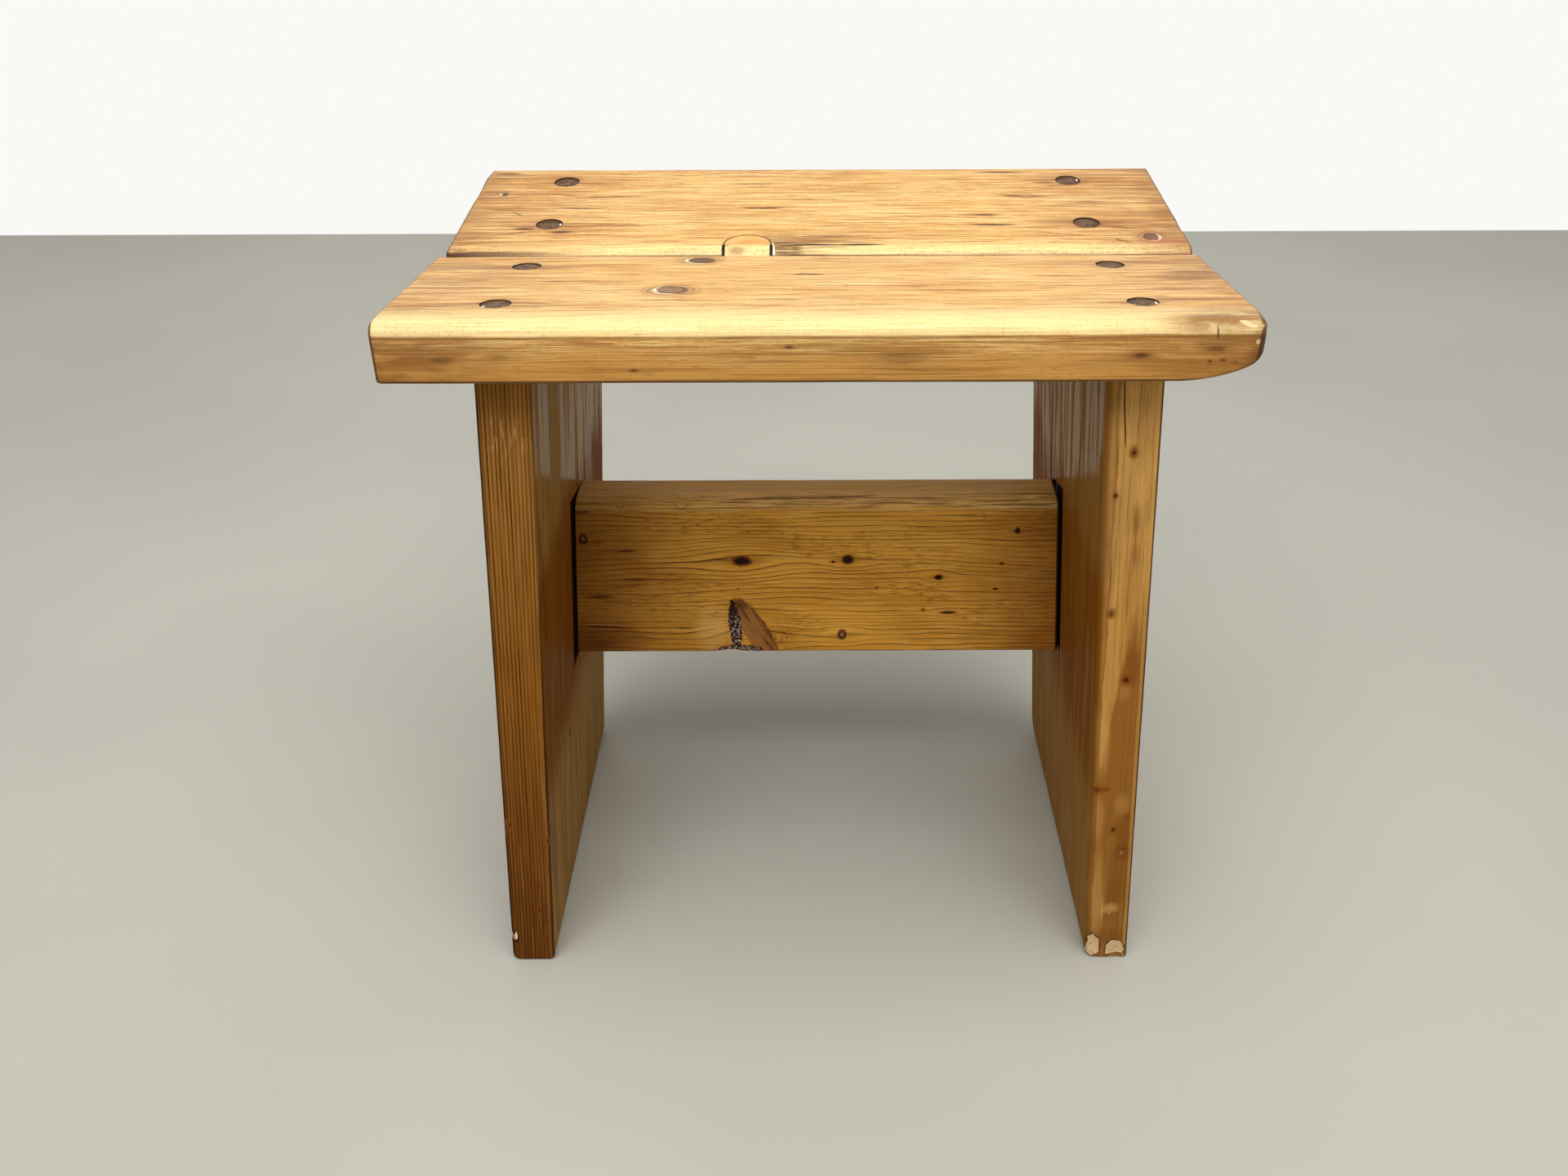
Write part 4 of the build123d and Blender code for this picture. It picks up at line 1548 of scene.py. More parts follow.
def foot_chips(finish):
    """The two patches at the right leg's foot where the finish has chipped off to bare, scuffed wood."""
    chips = [inside_outline(finish, corners) for corners in FOOT_CHIPS]
    for chip in chips:
        finish.paint(srgb(84, 50, 20), chip.ramp(-1.3, -0.4) * 0.8)
        finish.paint(finish.colours.bare_wood, chip.ramp(-0.1, 0.25))
        finish.sink(chip.ramp(-0.1, 0.4) * 3)
    scuffs = finish.cloud((3.2, 1.8, 1.8), 49, 3, 0.6).ramp(0.52, 0.66)
    scuffed = strongest([chip.ramp(0, 0.5) for chip in chips])
    finish.paint(srgb(160, 124, 78), scuffs * scuffed * 0.6)


def left_front_marks(finish):
    """Dark arrises, the outer one partly painted shade, reddish marks, the chip at the foot with its
    painted highlight, and the dark dot of the left leg's front.
    """
    wander = finish.cloud((26, 3, 3), 45) - 0.5
    outer_arris = arris_line(finish, leg_front_y, leg_thickness, 1.8)
    inner_arris = arris_line(finish, leg_front_y, 0, 1.8) + wander * 0.8
    # Dark line along the outer arris: painted shade and dark finish.
    finish.paint(srgb(30, 16, 6), outer_arris.ramp(1.1, 0.5, 0, 0.85))
    pale = inner_arris.ramp(0.8, 1.1) * inner_arris.ramp(2.0, 1.5) * finish.along.ramp(330, 200)
    finish.paint(finish.colours.leg_pale, pale * 0.15)
    finish.paint(srgb(50, 26, 10), inner_arris.ramp(0.95, 0.5) * finish.along.ramp(330, 200, 0.2, 0.8))
    leg_knots(finish, LEFT_LEG_KNOTS)
    worn = finish.cloud((11, 1.0, 1.0), 50).ramp(0.58, 0.68)
    under_seat = finish.spot((392, leg_front_y, 16), (12, 8, 14), 0.8)
    finish.paint(srgb(214, 160, 96), worn * under_seat * 0.6)
    chip = finish.distance((20.5, leg_front_y, 26), (5, 5, 2.8)) + wander * 0.4
    finish.paint(srgb(70, 36, 20), chip.ramp(1.2, 1.0))
    finish.paint(srgb(216, 156, 120), chip.ramp(0.72, 0.5))
    # Painted highlight on the chip's edge.
    glint = finish.spot((22, leg_front_y, 24.8), (3.4, 5, 0.7), 0.5, 0)
    finish.paint(srgb(255, 238, 216), glint)
    dot = finish.spot((133, -37.6, 0), (1.8, 3.0, 5), 0.4)
    finish.paint(srgb(16, 8, 4), dot)
    stretcher_groove(finish)
    finish.sink(chip.ramp(1.1, 0.8))


def stretcher_groove(finish):
    """Blacken the groove beside the stretcher's end with painted shade."""
    side = side_of(finish.turned.translation)
    front, rear = seam_y - groove_width[side], seam_y + stretcher_thickness + 0.2
    beside = finish.across.ramp(front - 1, front - 0.5) * finish.across.ramp(rear + 1, rear + 0.5)
    level = finish.along.ramp(160, 162) * finish.along.ramp(304, 302)
    depth = finish.through.size()
    sunk = depth.ramp(0.4, 0.7) * depth.ramp(4, 3)
    # Painted shade in the narrow gap at the stretcher's end.
    finish.paint(srgb(16, 6, 2), beside * level * sunk * 0.97)


LEG_LOOKS = {
    # pith across and through, ring spacing, share of the lines, seed, marks
    ("left", "front"): ((-108, 92), 2.1, 1.15, 2, left_front_marks),
    ("left", "rear"): ((70, -80), 2.4, 0.55, 8, stretcher_groove),
    ("right", "front"): ((-60, -140), 3.4, 0.2, 4, right_front_marks),
    ("right", "rear"): ((70, 80), 2.4, 0.55, 10, stretcher_groove),
}
LEG_DOWELS = {
    # numbers of the seat dowels and of the stretcher dowels that run into the plank
    ("left", "front"): ((1, 3), ()),
    ("left", "rear"): ((5, 7), (1, 2)),
    ("right", "front"): ((2, 4), ()),
    ("right", "rear"): ((6, 8), (3, 4)),
}


class STOOL_OT_leg_planks(Operator):
    """Build the four leg planks with the dowel holes that reach into them"""

    bl_idname = "stool.leg_planks"
    bl_label = "Leg planks"

    def execute(self, context):
        for (side_name, part), (pith, spacing, share, seed, marks) in LEG_LOOKS.items():
            side = SIDES[side_name]
            seat_dowels, stretcher_dowels = LEG_DOWELS[side_name, part]
            plank = leg_plank(side_name, part).build()
            cut(plank, seat_holes(seat_dowels))
            cut(plank, groove_block(side))
            if stretcher_dowels:
                cut(plank, stretcher_holes(stretcher_dowels))
            name = f"{side_name}_{part}_leg_pine"
            material = leg_finish(name, side, pith, spacing, share, seed, marks)
            fit_piece(plank, material, "leg_pine", f"{side_name}_leg_{part}_plank")
        return {"FINISHED"}


# Stretcher

def stretcher_plank():
    """Stretcher between the legs, its ends cut to their lean and a bark pocket in its lower edge."""
    sizes = bpy.context.scene.stool_sizes
    half_length = stretcher_high.x
    limits = (-half_length, half_length), (stretcher_low.z, stretcher_high.z), (-stretcher_thickness, 0)
    line_radii = ((0.9,), (0.9,)), ((1.0,), (6, 1.0)), ((1.0,), (6, 1.0))

    def edge_radius(along, across_side, through_side):
        wave = edge_wave(along, across_side, through_side, 31, 5)
        if across_side > 0 and through_side > 0:
            return 6 + 0.8 * wave
        return 1.0 + 0.5 * wave

    def end_radius(end, across):
        return 0.9

    def wear(along, across, through):
        point = (along, across, through)
        depth = uneven(along, across, through, 23.3, sizes.unevenness / MM)
        depth += dent(point, (-57, 184, 0), (6, 22, 8), 1.6)
        depth += dent(point, (-60, stretcher_low.z, 0), (13, 5, 9), 1.0)
        return depth

    def bent(along, across, through):
        end_x = foot_half_span - across * tan(leg_lean) - 0.12 + (left_end_reach if along < 0 else 0)
        return along / half_length * end_x, across, through

    name = "stretcher_board"
    return Plank(name, stretcher_frame, limits, line_radii, edge_radius, end_radius, wear, bent)


STRETCHER_KNOTS = [
    # middle along and up, half length and half height, darkness
    (-50.3, 239.6, 6.2, 3.7, 1.0),
    (19.1, 240.6, 3.7, 3.5, 1.0),
    (79, 226.4, 2.6, 2.1, 1.0),
    (128.1, 262, 1.8, 2.4, 0.9),
    (119.6, 237.1, 1.7, 0.8, 1.0),
    (117.4, 217.1, 1.5, 0.9, 1.0),
    (9.5, 238.8, 1.4, 0.8, 1.0),
    (38.3, 218.1, 0.7, 0.7, 1.0),
    (70, 200.5, 0.9, 1.2, 0.5),
    (-53.5, 217.8, 0.6, 0.6, 0.8),
]
STRETCHER_STREAKS = [
    # middle along and up, half length and half height, darkness, turn in degrees
    (-125, 247.6, 9, 1.3, 1.0),
    (-130, 248, 16, 2.6, 0.5),
    (-142, 254, 9, 1.0, 0.7),
    (-120, 225.4, 20, 1.1, 0.8),
    (-120, 221.6, 17, 1.0, 0.7),
    (-146.4, 211.7, 15, 3, 0.8),
    (-105, 212, 30, 1.2, 0.4),
    (87.6, 198.2, 10, 2.1, 1.1),
    (104, 199, 7, 0.9, 0.4),
    (-90, 186, 16, 0.8, 0.8),
    (-134, 262, 26, 1.2, 0.5),
    (-151, 172, 16, 6, 0.6),
    (-153, 277, 10, 2.0, 1.1),
    (-66, 222, 20, 0.8, 0.5, -12),
    (-36, 224, 24, 0.8, 0.5, 10),
    (140, 262, 24, 1.4, 0.5),
    (148, 258, 18, 1.0, 0.5),
    (4, 231, 40, 1.0, 0.5, 4),
    (70, 247, 26, 0.8, 0.4, -3),
]
STRETCHER_SWIRLS = [
    # middle along and up, half length and half height of the parted grain, push
    (-50.3, 239.6, 52, 22, 0.9),
    (19.1, 240.6, 30, 13, 0.85),
    (79, 226.4, 26, 11, 0.85),
    (128.1, 262, 18, 8, 0.85),
    (15.9, 180.2, 26, 13, 0.85),
    (87.6, 198.1, 22, 8, 0.7),
    (-42, 176, 54, 26, 0.75),
    (-151.9, 256.9, 16, 9, 0.85),
    (-122, 224, 26, 8, 0.6),
]
# Middle and half sizes of the two small knots that show as pale discs in a dark ring
STRETCHER_EYES = [((-151.9, 256.9, 0), (2.3, 3.0, 40)), ((15.9, 180.2, 0), (2.3, 3.2, 40))]


def stretcher_finish():
    """Golden pine with fine dark lines that part round the knots, the bark pocket below, and painted shade
    at its ends and along its lower edge.
    """
    finish = Finish("stretcher_pine", stretcher_frame)
    colours = finish.colours
    spacing = bpy.context.scene.stool_sizes.stretcher_ring_spacing / MM
    line, band, ring_random = growth_rings(finish, (-150, -60), spacing, 6, STRETCHER_SWIRLS)
    fade = finish.cloud((60, 12, 12), 56)
    fibre = finish.cloud((30, 0.8, 0.8), 51, 3, 0.65)
    hair = finish.cloud((8, 0.4, 0.4), 58, 2, 0.6)
    patches = finish.cloud((75, 24, 24), 52, 3, 0.55)
    ripple = finish.cloud((8, 1.7, 1.7), 53)
    ripple_patches = finish.cloud((70, 26, 26), 54, 1)
    drift = finish.cloud((20, 2.6, 9), 59) - 0.5
    ragged = finish.shifted(drift * 10, drift * 1.6)
    deep_share = patches.ramp(0.4, 0.66, 0, 0.7)
    finish.colour = finish.mix(colours.stretcher_wood, colours.stretcher_deep, deep_share)
    lines = (line * 1.1 + band * 0.2).at_most(1) * (ring_random * 0.5 + 0.5)
    finish.paint(colours.stretcher_line, lines * fade.ramp(0.3, 0.6, 0.55, 1))
    finish.paint(colours.stretcher_line, fibre.ramp(0.5, 0.74, 0, 0.4))
    finish.paint(colours.stretcher_pale, fibre.ramp(0.48, 0.3, 0, 0.4))
    finish.paint(colours.stretcher_line, hair.ramp(0.55, 0.78, 0, 0.3))
    ripple_place = ripple_patches.at_least(finish.spot((-98, 216, 0), (38, 14, 60), 1.2)).ramp(0.5, 0.62)
    ripples = ripple.ramp(0.54, 0.64) * ripple_place
    finish.paint(colours.stretcher_line, ripples * 0.4)
    left_end = (finish.along + drift * 40).ramp(-60, -165, 0, 0.72)
    right_end = (finish.along + drift * 40).ramp(85, 160, 0, 0.6)
    finish.paint(colours.stretcher_end, left_end + right_end)
    lower_left = finish.spot((-160, 172, 0), (34, 16, 60), 1.4, place=ragged)
    finish.paint(srgb(84, 34, 10), lower_left * 0.55)
    haze, heart = streaks(finish, STRETCHER_STREAKS, ragged)
    finish.paint(srgb(104, 56, 20), haze)
    finish.paint(srgb(60, 26, 8), heart.at_most(1) * 0.8)
    finish.height = band * 0.35 + fibre * 0.5 + ripples * 0.5 - heart * 0.5
    for along, up, half_length, half_height, dark in STRETCHER_KNOTS:
        middle = (along, up, 0)
        wobble = (finish.cloud((4, 3, 6), along * 0.11) - 0.5) * 0.5
        distance = finish.distance(middle, (half_length, half_height, 40)) + wobble
        tails = finish.distance(middle, (half_length * 4, half_height * 1.1, 40)).ramp(1, 0.2, 0, 0.4)
        finish.paint(colours.stretcher_deep, distance.ramp(2.8, 1.2) * 0.5)
        finish.paint(colours.stretcher_line, tails)
        finish.paint(srgb(104, 48, 14), distance.ramp(1.3, 0.95) * dark * 0.85)
        finish.paint(srgb(40, 14, 6), distance.ramp(0.98, 0.6) * dark)
        finish.sink(distance.ramp(1.1, 0.8) * 0.5)
    for middle, size in STRETCHER_EYES:
        ring = finish.distance(middle, size)
        circle = ring.ramp(0.35, 0.6) * ring.ramp(1.6, 1.1)
        finish.paint(srgb(48, 16, 10), circle * 0.85)
        finish.paint(srgb(160, 96, 56), ring.ramp(0.4, 0.25) * 0.8)
    crack = finish.spot((-144, 187.5, 0), (14, 0.7, 6), 0.6, radians(-3))
    glint = finish.spot((-144, 188.6, 0), (14, 0.45, 6), 0.6, radians(-3))
    finish.paint(srgb(40, 14, 6), crack * 0.9)
    # Painted highlight along the lip of the crack.
    finish.paint(srgb(206, 150, 90), glint * 0.8)
    bark_pocket(finish)
    stretcher_arris(finish)
    # Painted shade on the ends, in the gaps against the legs.
    finish.paint(srgb(40, 16, 6), finish.end_grain(0.4, 0.8, 0.9, 0.6))
    # Painted shade at the tip of the right end, in its gap.
    end_reach = finish.along + finish.across * tan(leg_lean)
    right_tip = end_reach.ramp(foot_half_span - 2.2, foot_half_span - 1.4)
    finish.paint(srgb(26, 10, 4), right_tip * 0.9)
    # Painted shade along the lower edge.
    under_line = finish.across.ramp(stretcher_low.z + 1.6, stretcher_low.z + 0.4, 0, 0.6)
    finish.paint(srgb(30, 12, 4), under_line)
    roughness = patches.ramp(0.3, 0.7, 0.4, 0.52)
    return finish.surface(0.12, roughness, 0.06, 0.03, 0.2)


def stretcher_arris(finish):
    """Brown top face, the streaky zone at its front and the pale band on the arris below it, partly wear
    and partly a painted highlight.
    """
    colours = finish.colours
    streaky = finish.cloud((60, 1.3, 1.3), 57, 3, 0.6)
    wander = finish.cloud((24, 4, 4), 55) - 0.5
    top = finish.turned_to(1, 0.55, 0.9)
    worn_and_highlit_front = (finish.through + wander * 3).ramp(-14, -9)
    finish.paint(colours.stretcher_top, top * streaky.ramp(0.35, 0.55, 0.4, 0.95))
    below = (finish.across + wander * 4).ramp(stretcher_high.z - 9, stretcher_high.z - 5)
    # Pale band at the top arris: partly wear, partly a painted highlight.
    pale = below * (top.flipped() + worn_and_highlit_front).at_most(1) * finish.along.ramp(-165, -60, 0.35, 1)
    finish.paint(colours.stretcher_pale, pale * streaky.ramp(0.4, 0.5, 0.05, 0.9))
    finish.paint(srgb(104, 60, 24), pale * streaky.ramp(0.52, 0.58, 0, 0.75))
    for along, width in ((-126.2, 3.2), (-87, 5.5)):
        tick = (finish.along - along).size() / width
        slope = finish.across - stretcher_high.z + 6.5 - tick * 4
        mark = slope.size().ramp(0.9, 0.3) * tick.ramp(1, 0.8)
        finish.paint(srgb(92, 48, 16), mark * 0.35)


def bark_pocket(finish):
    """Bark pocket at the lower edge: a dark slit with white flecks and a sweep of brown fibre."""
    wobble = finish.cloud((3.4, 4.4, 4), 61, 3, 0.65) - 0.5
    pale = finish.spot((-72, 184, 0), (10, 17, 12), 1.2)
    finish.paint(finish.colours.stretcher_pale, pale * 0.3)
    lean = radians(26)
    sweep = finish.distance((-42, 183, 0), (8.5, 30, 12), lean) + wobble * 0.5
    leaning_place = finish.mapped(finish.place, (0, 0, 0), (1, 1, 1), (0, 0, lean))
    fibres = finish.cloud((1.7, 26, 4), 62, place=leaning_place)
    finish.paint(srgb(154, 100, 52), sweep.ramp(1.15, 0.8) * 0.85)
    finish.paint(srgb(96, 50, 20), sweep.ramp(1.1, 0.85) * fibres.ramp(0.48, 0.62) * 0.7)
    finish.paint(srgb(182, 126, 70), sweep.ramp(1.0, 0.8) * fibres.ramp(0.42, 0.3) * 0.45)
    crest = finish.distance((-52, 206, 0), (7, 4, 12), radians(-38)) + wobble * 0.6
    finish.paint(srgb(92, 48, 22), crest.ramp(1.1, 0.5) * 0.7)
    slit = finish.distance((-56.4, 187, 0), (4.2, 21, 12), radians(3)) + wobble * 0.8
    foot = finish.distance((-54, 168, 0), (16, 3.6, 12)) + wobble * 1.1
    hole_mask = slit.ramp(1.08, 0.92).at_least(foot.ramp(1.1, 0.95) * 0.9)
    finish.paint(srgb(52, 26, 14), hole_mask)
    fleck = finish.cloud((1.2, 1.6, 2), 63, 2, 0.6).ramp(0.54, 0.59)
    bright = (finish.across * -1 + 205).ramp(0, 14, 0.0, 1)
    heart = finish.distance((-55.6, 180, 0), (2.8, 14, 12)).ramp(1.3, 0.7, 0.35, 1)
    finish.paint(srgb(240, 214, 192), hole_mask * fleck * bright * heart.at_least(foot.ramp(1, 0.6)))
    scribble = finish.distance((-27, 178, 0), (8, 8.5, 12)) + wobble * 1.1
    circles = (scribble * 2.7).fraction()
    lines = circles.ramp(0.8, 0.92) * circles.ramp(1, 0.97) * scribble.ramp(1.2, 1.0)
    finish.paint(srgb(58, 26, 10), lines * 0.9)
    finish.height = finish.height - hole_mask * 2 + fleck * hole_mask * 1.2


class STOOL_OT_stretcher(Operator):
    """Build the stretcher between the legs"""

    bl_idname = "stool.stretcher"
    bl_label = "Stretcher"

    def execute(self, context):
        board = cut(stretcher_plank().build(), stretcher_holes(STRETCHER_DOWELS))
        fit_piece(board, stretcher_finish(), "stretcher_pine", "stretcher")
        return {"FINISHED"}


# Dowels and their finish

PLUG_GLINTS = {
    # seat dowel: direction of the painted highlight on its rim, in degrees from the right
    1: 215,
    2: -10,
    5: 5,
    8: 20,
}


def dowel_finish(name, middle, axis, across_axis, seed, glint_angle=None):
    """Dirty end grain of a dowel, with its own rings, a crescent of painted shade and a painted highlight
    at the rim.
    """
    finish = Finish(name, board_frame(middle, axis, across_axis))
    colours = finish.colours
    line, band, _ = growth_rings(finish, (-9, 4 + seed % 5), 1.3, 1)
    grain = finish.cloud((30, 0.9, 0.5), seed, 3, 0.6)
    patches = finish.cloud((30, 4, 3), seed + 1, 3)
    finish.colour = finish.mix(colours.plug, colours.plug_dark, patches.ramp(0.38, 0.62, 0, 0.8))
    finish.height = grain + band * 0.5
    finish.paint(colours.plug_dark, line * 0.6 + band * 0.2)
    finish.paint(srgb(176, 142, 108), grain.ramp(0.54, 0.68, 0, 0.45))
    edge = finish.distance((0, 0, 0), (200, dowel_radius, dowel_radius)) + (patches - 0.5) * 0.16
    # Painted shade: a dark crescent on one side of the sunk rim.
    shade_angle = radians(70 * seed)
    shaded = finish.across * cos(shade_angle) + finish.through * sin(shade_angle)
    crescent = edge.ramp(0.62, 1.0) * shaded.ramp(-6, 5, 0.3, 1)
    finish.paint(srgb(44, 28, 18), crescent * 0.85)
    # Painted highlight: a light glint on the rim.
    if glint_angle is not None:
        angle = radians(glint_angle)
        place = (0, 6.4 * cos(angle), 6.4 * sin(angle))
        glint = finish.distance(place, (60, 0.8, 2.2)) + (patches - 0.5) * 0.8
        finish.paint(srgb(250, 232, 206), glint.ramp(1.0, 0.7) * 0.75)
    return finish.surface(0.1, patches.ramp(0.3, 0.7, 0.4, 0.6), 0.12, 0.05, 0.25)


class STOOL_OT_seat_dowels(Operator):
    """Build the eight dowels whose ends show in the seat"""

    bl_idname = "stool.seat_dowels"
    bl_label = "Seat dowels"

    def execute(self, context):
        for number in FRONT_DOWELS + REAR_DOWELS:
            middle, normal = seat_dowel_end(number)
            name = f"seat_plug_{number}"
            piece = dowel(name, middle, Z_AXIS, normal, number * 3.7)
            glint = PLUG_GLINTS.get(number)
            material = dowel_finish(f"{name}_end_grain", middle, Z_AXIS, X_AXIS, number, glint)
            fit_piece(piece, material, "dowel_end_grain", f"seat_dowel_{number}")
        return {"FINISHED"}


class STOOL_OT_stretcher_dowels(Operator):
    """Build the four dowels that run through the legs into the stretcher"""

    bl_idname = "stool.stretcher_dowels"
    bl_label = "Stretcher dowels"

    def execute(self, context):
        for number in STRETCHER_DOWELS:
            middle, normal = stretcher_dowel_end(number)
            axis = X_AXIS * side_of(middle)
            name = f"stretcher_plug_{number}"
            piece = dowel(name, middle, axis, normal, 40 + number * 3.1)
            material = dowel_finish(f"{name}_end_grain", middle, axis, Y_AXIS, 20 + number)
            fit_piece(piece, material, "dowel_end_grain", f"stretcher_dowel_{number}")
        return {"FINISHED"}


class STOOL_OT_edge_dowels(Operator):
    """Give the hidden dowels of the leg joints their bare beech finish"""

    bl_idname = "stool.edge_dowels"
    bl_label = "Hidden edge dowels"

    def execute(self, context):
        finish = Finish("bare_beech", board_frame(ORIGIN, Y_AXIS, Z_AXIS))
        rays = finish.cloud((4, 0.5, 0.5), 71)
        tone = finish.cloud((30, 3, 3), 72)
        finish.colour = finish.mix(finish.colours.beech, srgb(176, 128, 88), tone.ramp(0.35, 0.65, 0, 0.6))
        finish.height = rays
        finish.paint(srgb(150, 100, 64), rays.ramp(0.58, 0.7, 0, 0.6))
        material = finish.surface(0.05, tone.ramp(0.3, 0.7, 0.6, 0.75), 0.3, 0.0, 0.3)
        for side_name in SIDES:
            for number in range(1, 4):
                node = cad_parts[f"{side_name}_leg_edge_dowel_{number}"]
                for slot in node.material_slots:
                    slot.material = material
        return {"FINISHED"}


# Stage, in metres

floor_front = -3.5
floor_rear = 1.45
bend_radius = 0.25
bend_steps = 8
backdrop_height = 3.0
stage_half_width = 4.5
lamp_aim = (0, 0, 0.3)
far_end_of_view = 50


def lamp(name, place, aim, width, height, power):
    """Soft rectangular lamp, placed and aimed in metres."""
    data = bpy.data.lights.new(name, "AREA")
    data.shape = "RECTANGLE"
    data.size = width
    data.size_y = height
    data.energy = power
    piece = bpy.data.objects.new(name, data)
    piece.location = place
    piece.rotation_mode = "QUATERNION"
    piece.rotation_quaternion = (Vector(aim) - Vector(place)).to_track_quat("-Z", "Y")
    bpy.context.scene.collection.objects.link(piece)


def plain_sheet(name, profile, colour, glow):
    """Sheet swept across the stage along a profile of (y, z), in metres."""
    points = []
    for y, z in profile:
        points += [(-stage_half_width, y, z), (stage_half_width, y, z)]
    faces = [[2 * i, 2 * i + 1, 2 * i + 3, 2 * i + 2] for i in range(len(profile) - 1)]
    sheet = new_piece(name, points, faces)
    finish = Finish(name, Matrix.Identity(4))
    mottle = finish.cloud((420, 420, 420), 81)
    shade = [channel * 0.94 for channel in colour]
    tone = finish.mix(colour, shade, mottle.ramp(0.35, 0.65))
    shader = finish.node("ShaderNodeBsdfPrincipled")
    feed(finish.tree, shader.inputs["Base Color"], tone)
    shader.inputs["Roughness"].default_value = 0.6
    output = finish.node("ShaderNodeOutputMaterial")
    surface = shader.outputs[0]
    if glow:
        surface = seen_as(finish, surface, colour)
    finish.tree.links.new(surface, output.inputs[0])
    sheet.data.materials.append(finish.material)
    smooth(sheet)


def seen_as(finish, surface, colour):
    """Shader that the camera, gloss and glass see as an even colour, while it lights as before."""
    path = finish.node("ShaderNodeLightPath")
    rays = ("Camera", "Glossy", "Transmission")
    seen = strongest([Field(finish.tree, path.outputs[f"Is {ray} Ray"]) for ray in rays])
    even = finish.node("ShaderNodeEmission", {"Color": (*colour, 1)})
    chosen = finish.node("ShaderNodeMixShader", {0: seen})
    finish.tree.links.new(surface, chosen.inputs[1])
    finish.tree.links.new(even.outputs[0], chosen.inputs[2])
    return chosen.outputs[0]


def set_world(strength):
    """Even pale surroundings that give soft light from all sides."""
    world = bpy.data.worlds.new("pale_studio")
    world.use_nodes = True
    background = world.node_tree.nodes["Background"]
    background.inputs["Color"].default_value = (1, 0.99, 0.97, 1)
    background.inputs["Strength"].default_value = strength
    bpy.context.scene.world = world


def set_camera():
    """Camera at the photograph's viewing angle."""
    forward = cos(camera_pitch)
    toward = Vector((sin(camera_yaw) * forward, cos(camera_yaw) * forward, -sin(camera_pitch)))
    level = toward.cross(Z_AXIS).normalized()
    upright = level.cross(toward)
    right = level * cos(camera_roll) + upright * sin(camera_roll)
    up = upright * cos(camera_roll) - level * sin(camera_roll)
    data = bpy.data.cameras.new("view")
    data.sensor_width = sensor_width
    data.lens = focal_length_pixels / picture_width * sensor_width
    data.shift_x = (picture_width / 2 - picture_centre_x) / picture_width
    data.shift_y = (picture_centre_y - picture_height / 2) / picture_width
    data.clip_end = far_end_of_view
    camera = bpy.data.objects.new("view", data)
    turned = Matrix((right, up, -toward)).transposed().to_4x4()
    camera.matrix_world = Matrix.Translation(camera_place * MM) @ turned
    bpy.context.scene.collection.objects.link(camera)
    bpy.context.scene.camera = camera


class STOOL_OT_stage(Operator):
    """Set the plain pale floor and backdrop, the soft studio light and the camera"""

    bl_idname = "stool.stage"
    bl_label = "Stage"

    def execute(self, context):
        colours = context.scene.stool_colours
        plain_sheet("floor", [(floor_front, 0), (floor_rear, 0)], colours.floor, False)
        wall = []
        for step in range(bend_steps + 1):
            angle = pi / 2 * step / bend_steps
            wall.append((floor_rear + bend_radius * sin(angle), bend_radius * (1 - cos(angle))))
        wall.append((floor_rear + bend_radius, backdrop_height))
        plain_sheet("backdrop", wall, colours.backdrop, True)
        sizes = context.scene.stool_sizes
        set_world(sizes.surround_light)
        lamp("overhead", (0.0, -0.7, 2.4), lamp_aim, 2.2, 1.8, sizes.overhead_power)
        lamp("front_left", (-1.4, -2.4, 1.5), lamp_aim, 1.4, 1.4, sizes.front_power)
        set_camera()
        context.scene.view_settings.view_transform = "Standard"
        return {"FINISHED"}


# Values that a user would change

def length_property(name, description, default, lowest):
    """Length that a user can set. It is given in millimetres and held in metres."""
    limits = {"default": default * MM, "min": lowest * MM}
    return FloatProperty(name=name, description=description, unit="LENGTH", precision=5, **limits)


def power_property(name, description, default):
    """Power of a lamp that a user can set, in watts."""
    return FloatProperty(name=name, description=description, unit="POWER", default=default, min=0.0)


class StoolSizes(PropertyGroup):
    """Lengths of the woodwork, and the strength of the light"""

    front_edge_radius: length_property("Front edge radius", "Rounding of the seat's front top edge", 7, 7)
    front_ring_spacing: length_property("Front board rings", "Growth ring of the front board", 1.3, 0.5)
    rear_ring_spacing: length_property("Rear board rings", "Growth ring of the rear board", 1.7, 0.5)
    stretcher_ring_spacing: length_property("Stretcher rings", "Growth ring of the stretcher", 3.6, 0.5)
    unevenness: length_property("Unevenness", "How far the planed faces wander", 0.1, 0)
    surround_light: FloatProperty(
        name="Surround light", description="Strength of the even light from all sides", default=0.3, min=0.0
    )
    overhead_power: power_property("Overhead lamp", "Power of the lamp over the stool", 66.0)
    front_power: power_property("Front lamp", "Power of the lamp at the front left", 7.0)


def colour_property(name, description, default):
    """Colour that a user can pick."""
    return FloatVectorProperty(
        name=name, description=description, subtype="COLOR", size=3, min=0.0, max=1.0, default=default
    )


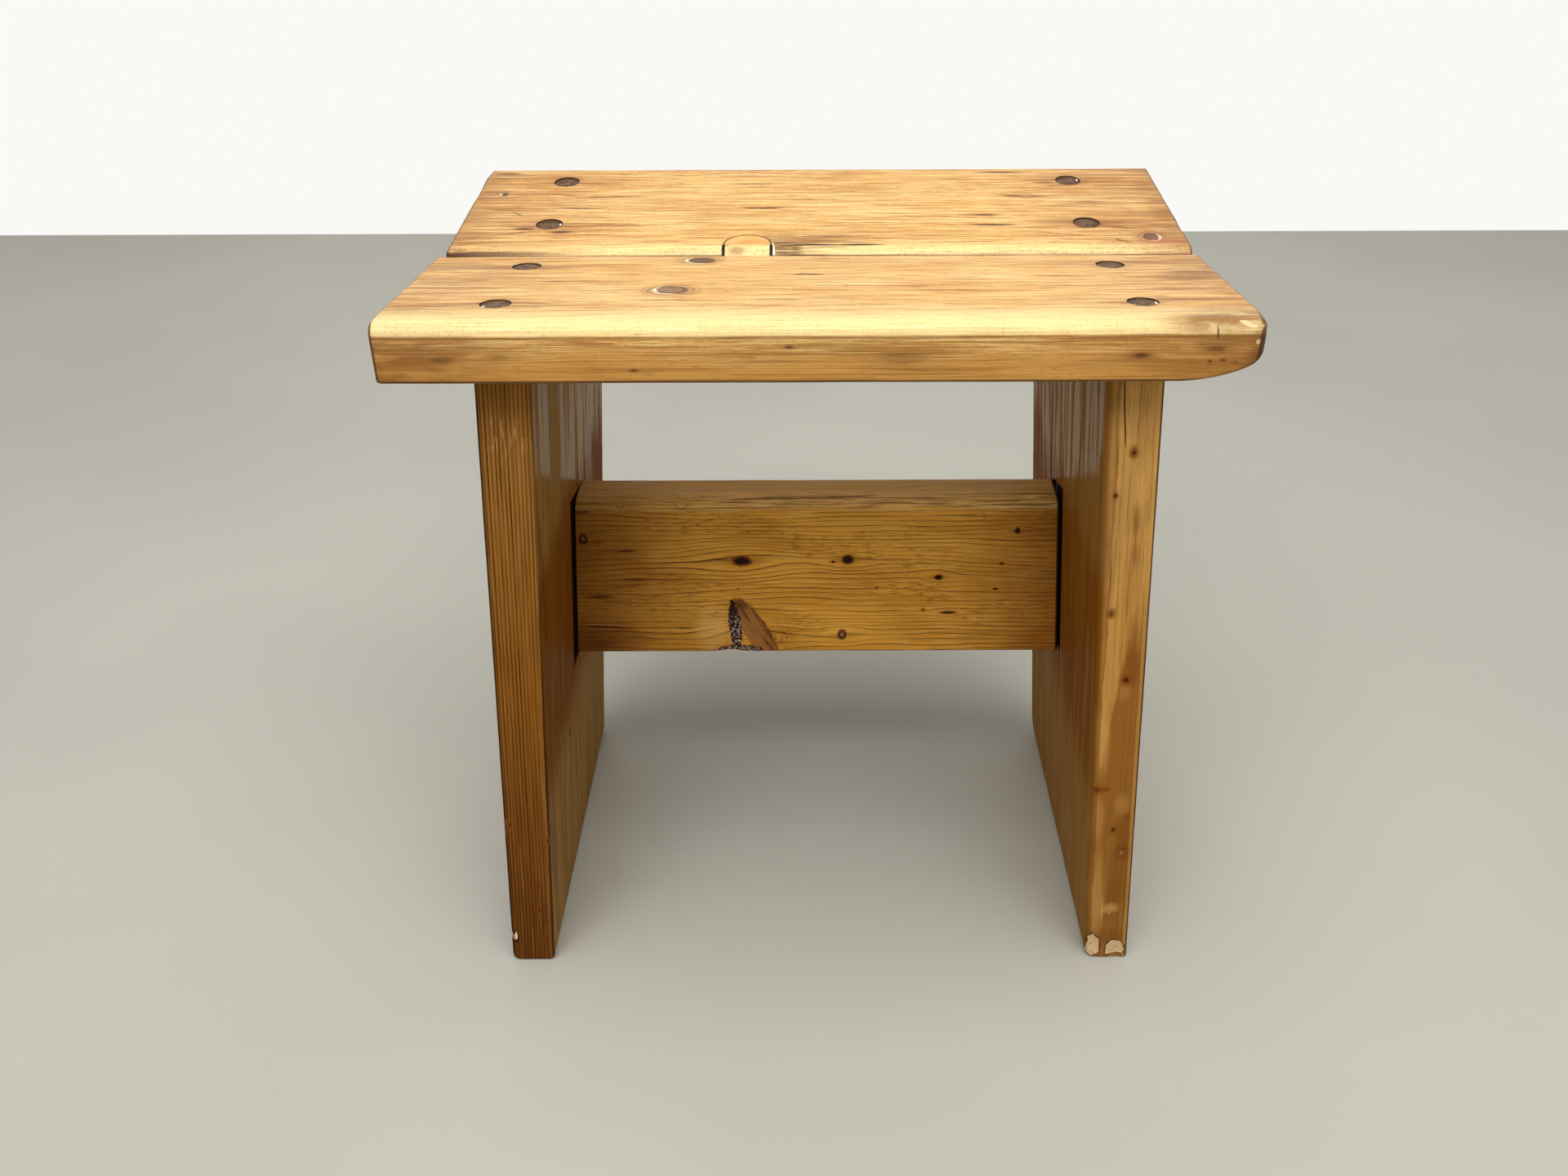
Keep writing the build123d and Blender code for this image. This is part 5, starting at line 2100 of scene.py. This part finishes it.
class StoolColours(PropertyGroup):
    """Colours of the woods, the marks in them and the stage"""

    seat_wood: colour_property("Seat wood", "Pale honey of the seat boards", srgb(240, 192, 118))
    seat_deep: colour_property("Seat wood, deeper", "Deeper honey patches of the seat", srgb(224, 166, 90))
    seat_line: colour_property("Seat grain", "Late wood lines of the seat", srgb(150, 94, 38))
    # Also the painted highlight in the worn band along the front board's front edge.
    seat_pale: colour_property("Seat wood, worn", "Pale worn edges of the seat", srgb(252, 230, 164))
    front_face: colour_property("Front face", "Golden brown of the seat's front face", srgb(198, 142, 66))
    left_leg_wood: colour_property("Left leg wood", "Amber of the left leg", srgb(162, 104, 36))
    right_leg_wood: colour_property("Right leg wood", "Yellow tan of the right leg", srgb(210, 154, 78))
    # Also the painted highlight strip on the right leg's outer arris.
    leg_pale: colour_property("Leg wood, pale", "Pale worn strips of the legs", srgb(216, 162, 88))
    leg_deep: colour_property("Leg wood, deeper", "Brown patches of the legs", srgb(142, 88, 28))
    leg_inner: colour_property("Leg wood, inner face", "Brown of the legs' inner faces", srgb(132, 80, 20))
    # Also the painted shade at the top of the legs, beneath the seat.
    leg_line: colour_property("Leg grain", "Late wood lines of the legs", srgb(70, 36, 10))
    stretcher_wood: colour_property("Stretcher wood", "Golden orange of the stretcher", srgb(240, 174, 66))
    stretcher_deep: colour_property("Stretcher wood, deeper", "Deeper patches", srgb(210, 142, 42))
    # Also the painted highlight in the band along the stretcher's top arris.
    stretcher_pale: colour_property("Stretcher wood, pale", "Pale worn arris", srgb(252, 208, 128))
    stretcher_line: colour_property("Stretcher grain", "Late wood lines of the stretcher", srgb(86, 44, 10))
    stretcher_end: colour_property("Stretcher ends", "Red brown toward the ends", srgb(124, 60, 12))
    stretcher_top: colour_property("Stretcher top", "Pale brown of the top face", srgb(216, 176, 108))
    # Also the painted shade on the seat boards' undersides.
    stain: colour_property("Stain", "Brown of the soft streaks", srgb(134, 80, 34))
    # Also the painted shade in the seat dowels' rims and along the right leg's outer arris.
    dirt: colour_property("Dirt", "Dark brown of cracks and worn ends", srgb(76, 44, 22))
    plug: colour_property("Dowel ends", "Grey brown of the dowel ends", srgb(110, 80, 50))
    plug_dark: colour_property("Dowel ends, dark", "Dirt in the dowel ends", srgb(70, 46, 28))
    # Also a small painted highlight at the front board's worn corner.
    bare_wood: colour_property("Bare wood", "Wood where the finish has chipped away", srgb(228, 194, 146))
    beech: colour_property("Beech", "Bare beech of the hidden dowels", srgb(206, 164, 120))
    floor: colour_property("Floor", "Plain pale floor", srgb(184, 182, 171))
    backdrop: colour_property("Backdrop", "Plain pale backdrop", srgb(250, 249, 246))


OPERATORS = [
    STOOL_OT_seat_boards,
    STOOL_OT_edge_patch,
    STOOL_OT_leg_planks,
    STOOL_OT_stretcher,
    STOOL_OT_seat_dowels,
    STOOL_OT_stretcher_dowels,
    STOOL_OT_edge_dowels,
    STOOL_OT_stage,
]


class STOOL_PT_panel(Panel):
    """Buttons for each group of pieces, and the values that they use"""

    bl_idname = "STOOL_PT_panel"
    bl_label = "Pine Stool"
    bl_space_type = "VIEW_3D"
    bl_region_type = "UI"
    bl_category = "Pine Stool"

    def draw(self, context):
        for operator in OPERATORS:
            self.layout.operator(operator.bl_idname)
        for group in (context.scene.stool_sizes, context.scene.stool_colours):
            for name in group.bl_rna.properties.keys():
                if name not in ("rna_type", "name"):
                    self.layout.prop(group, name)


CLASSES = [StoolSizes, StoolColours, *OPERATORS, STOOL_PT_panel]


def register():
    for item in CLASSES:
        bpy.utils.register_class(item)
    bpy.types.Scene.stool_sizes = PointerProperty(type=StoolSizes)
    bpy.types.Scene.stool_colours = PointerProperty(type=StoolColours)


def unregister():
    del bpy.types.Scene.stool_colours
    del bpy.types.Scene.stool_sizes
    for item in reversed(CLASSES):
        bpy.utils.unregister_class(item)


def main():
    """Build every piece and the stage."""
    register()
    bpy.ops.stool.seat_boards()
    bpy.ops.stool.edge_patch()
    bpy.ops.stool.leg_planks()
    bpy.ops.stool.stretcher()
    bpy.ops.stool.seat_dowels()
    bpy.ops.stool.stretcher_dowels()
    bpy.ops.stool.edge_dowels()
    bpy.ops.stool.stage()


if __name__ == "__main__":
    main()
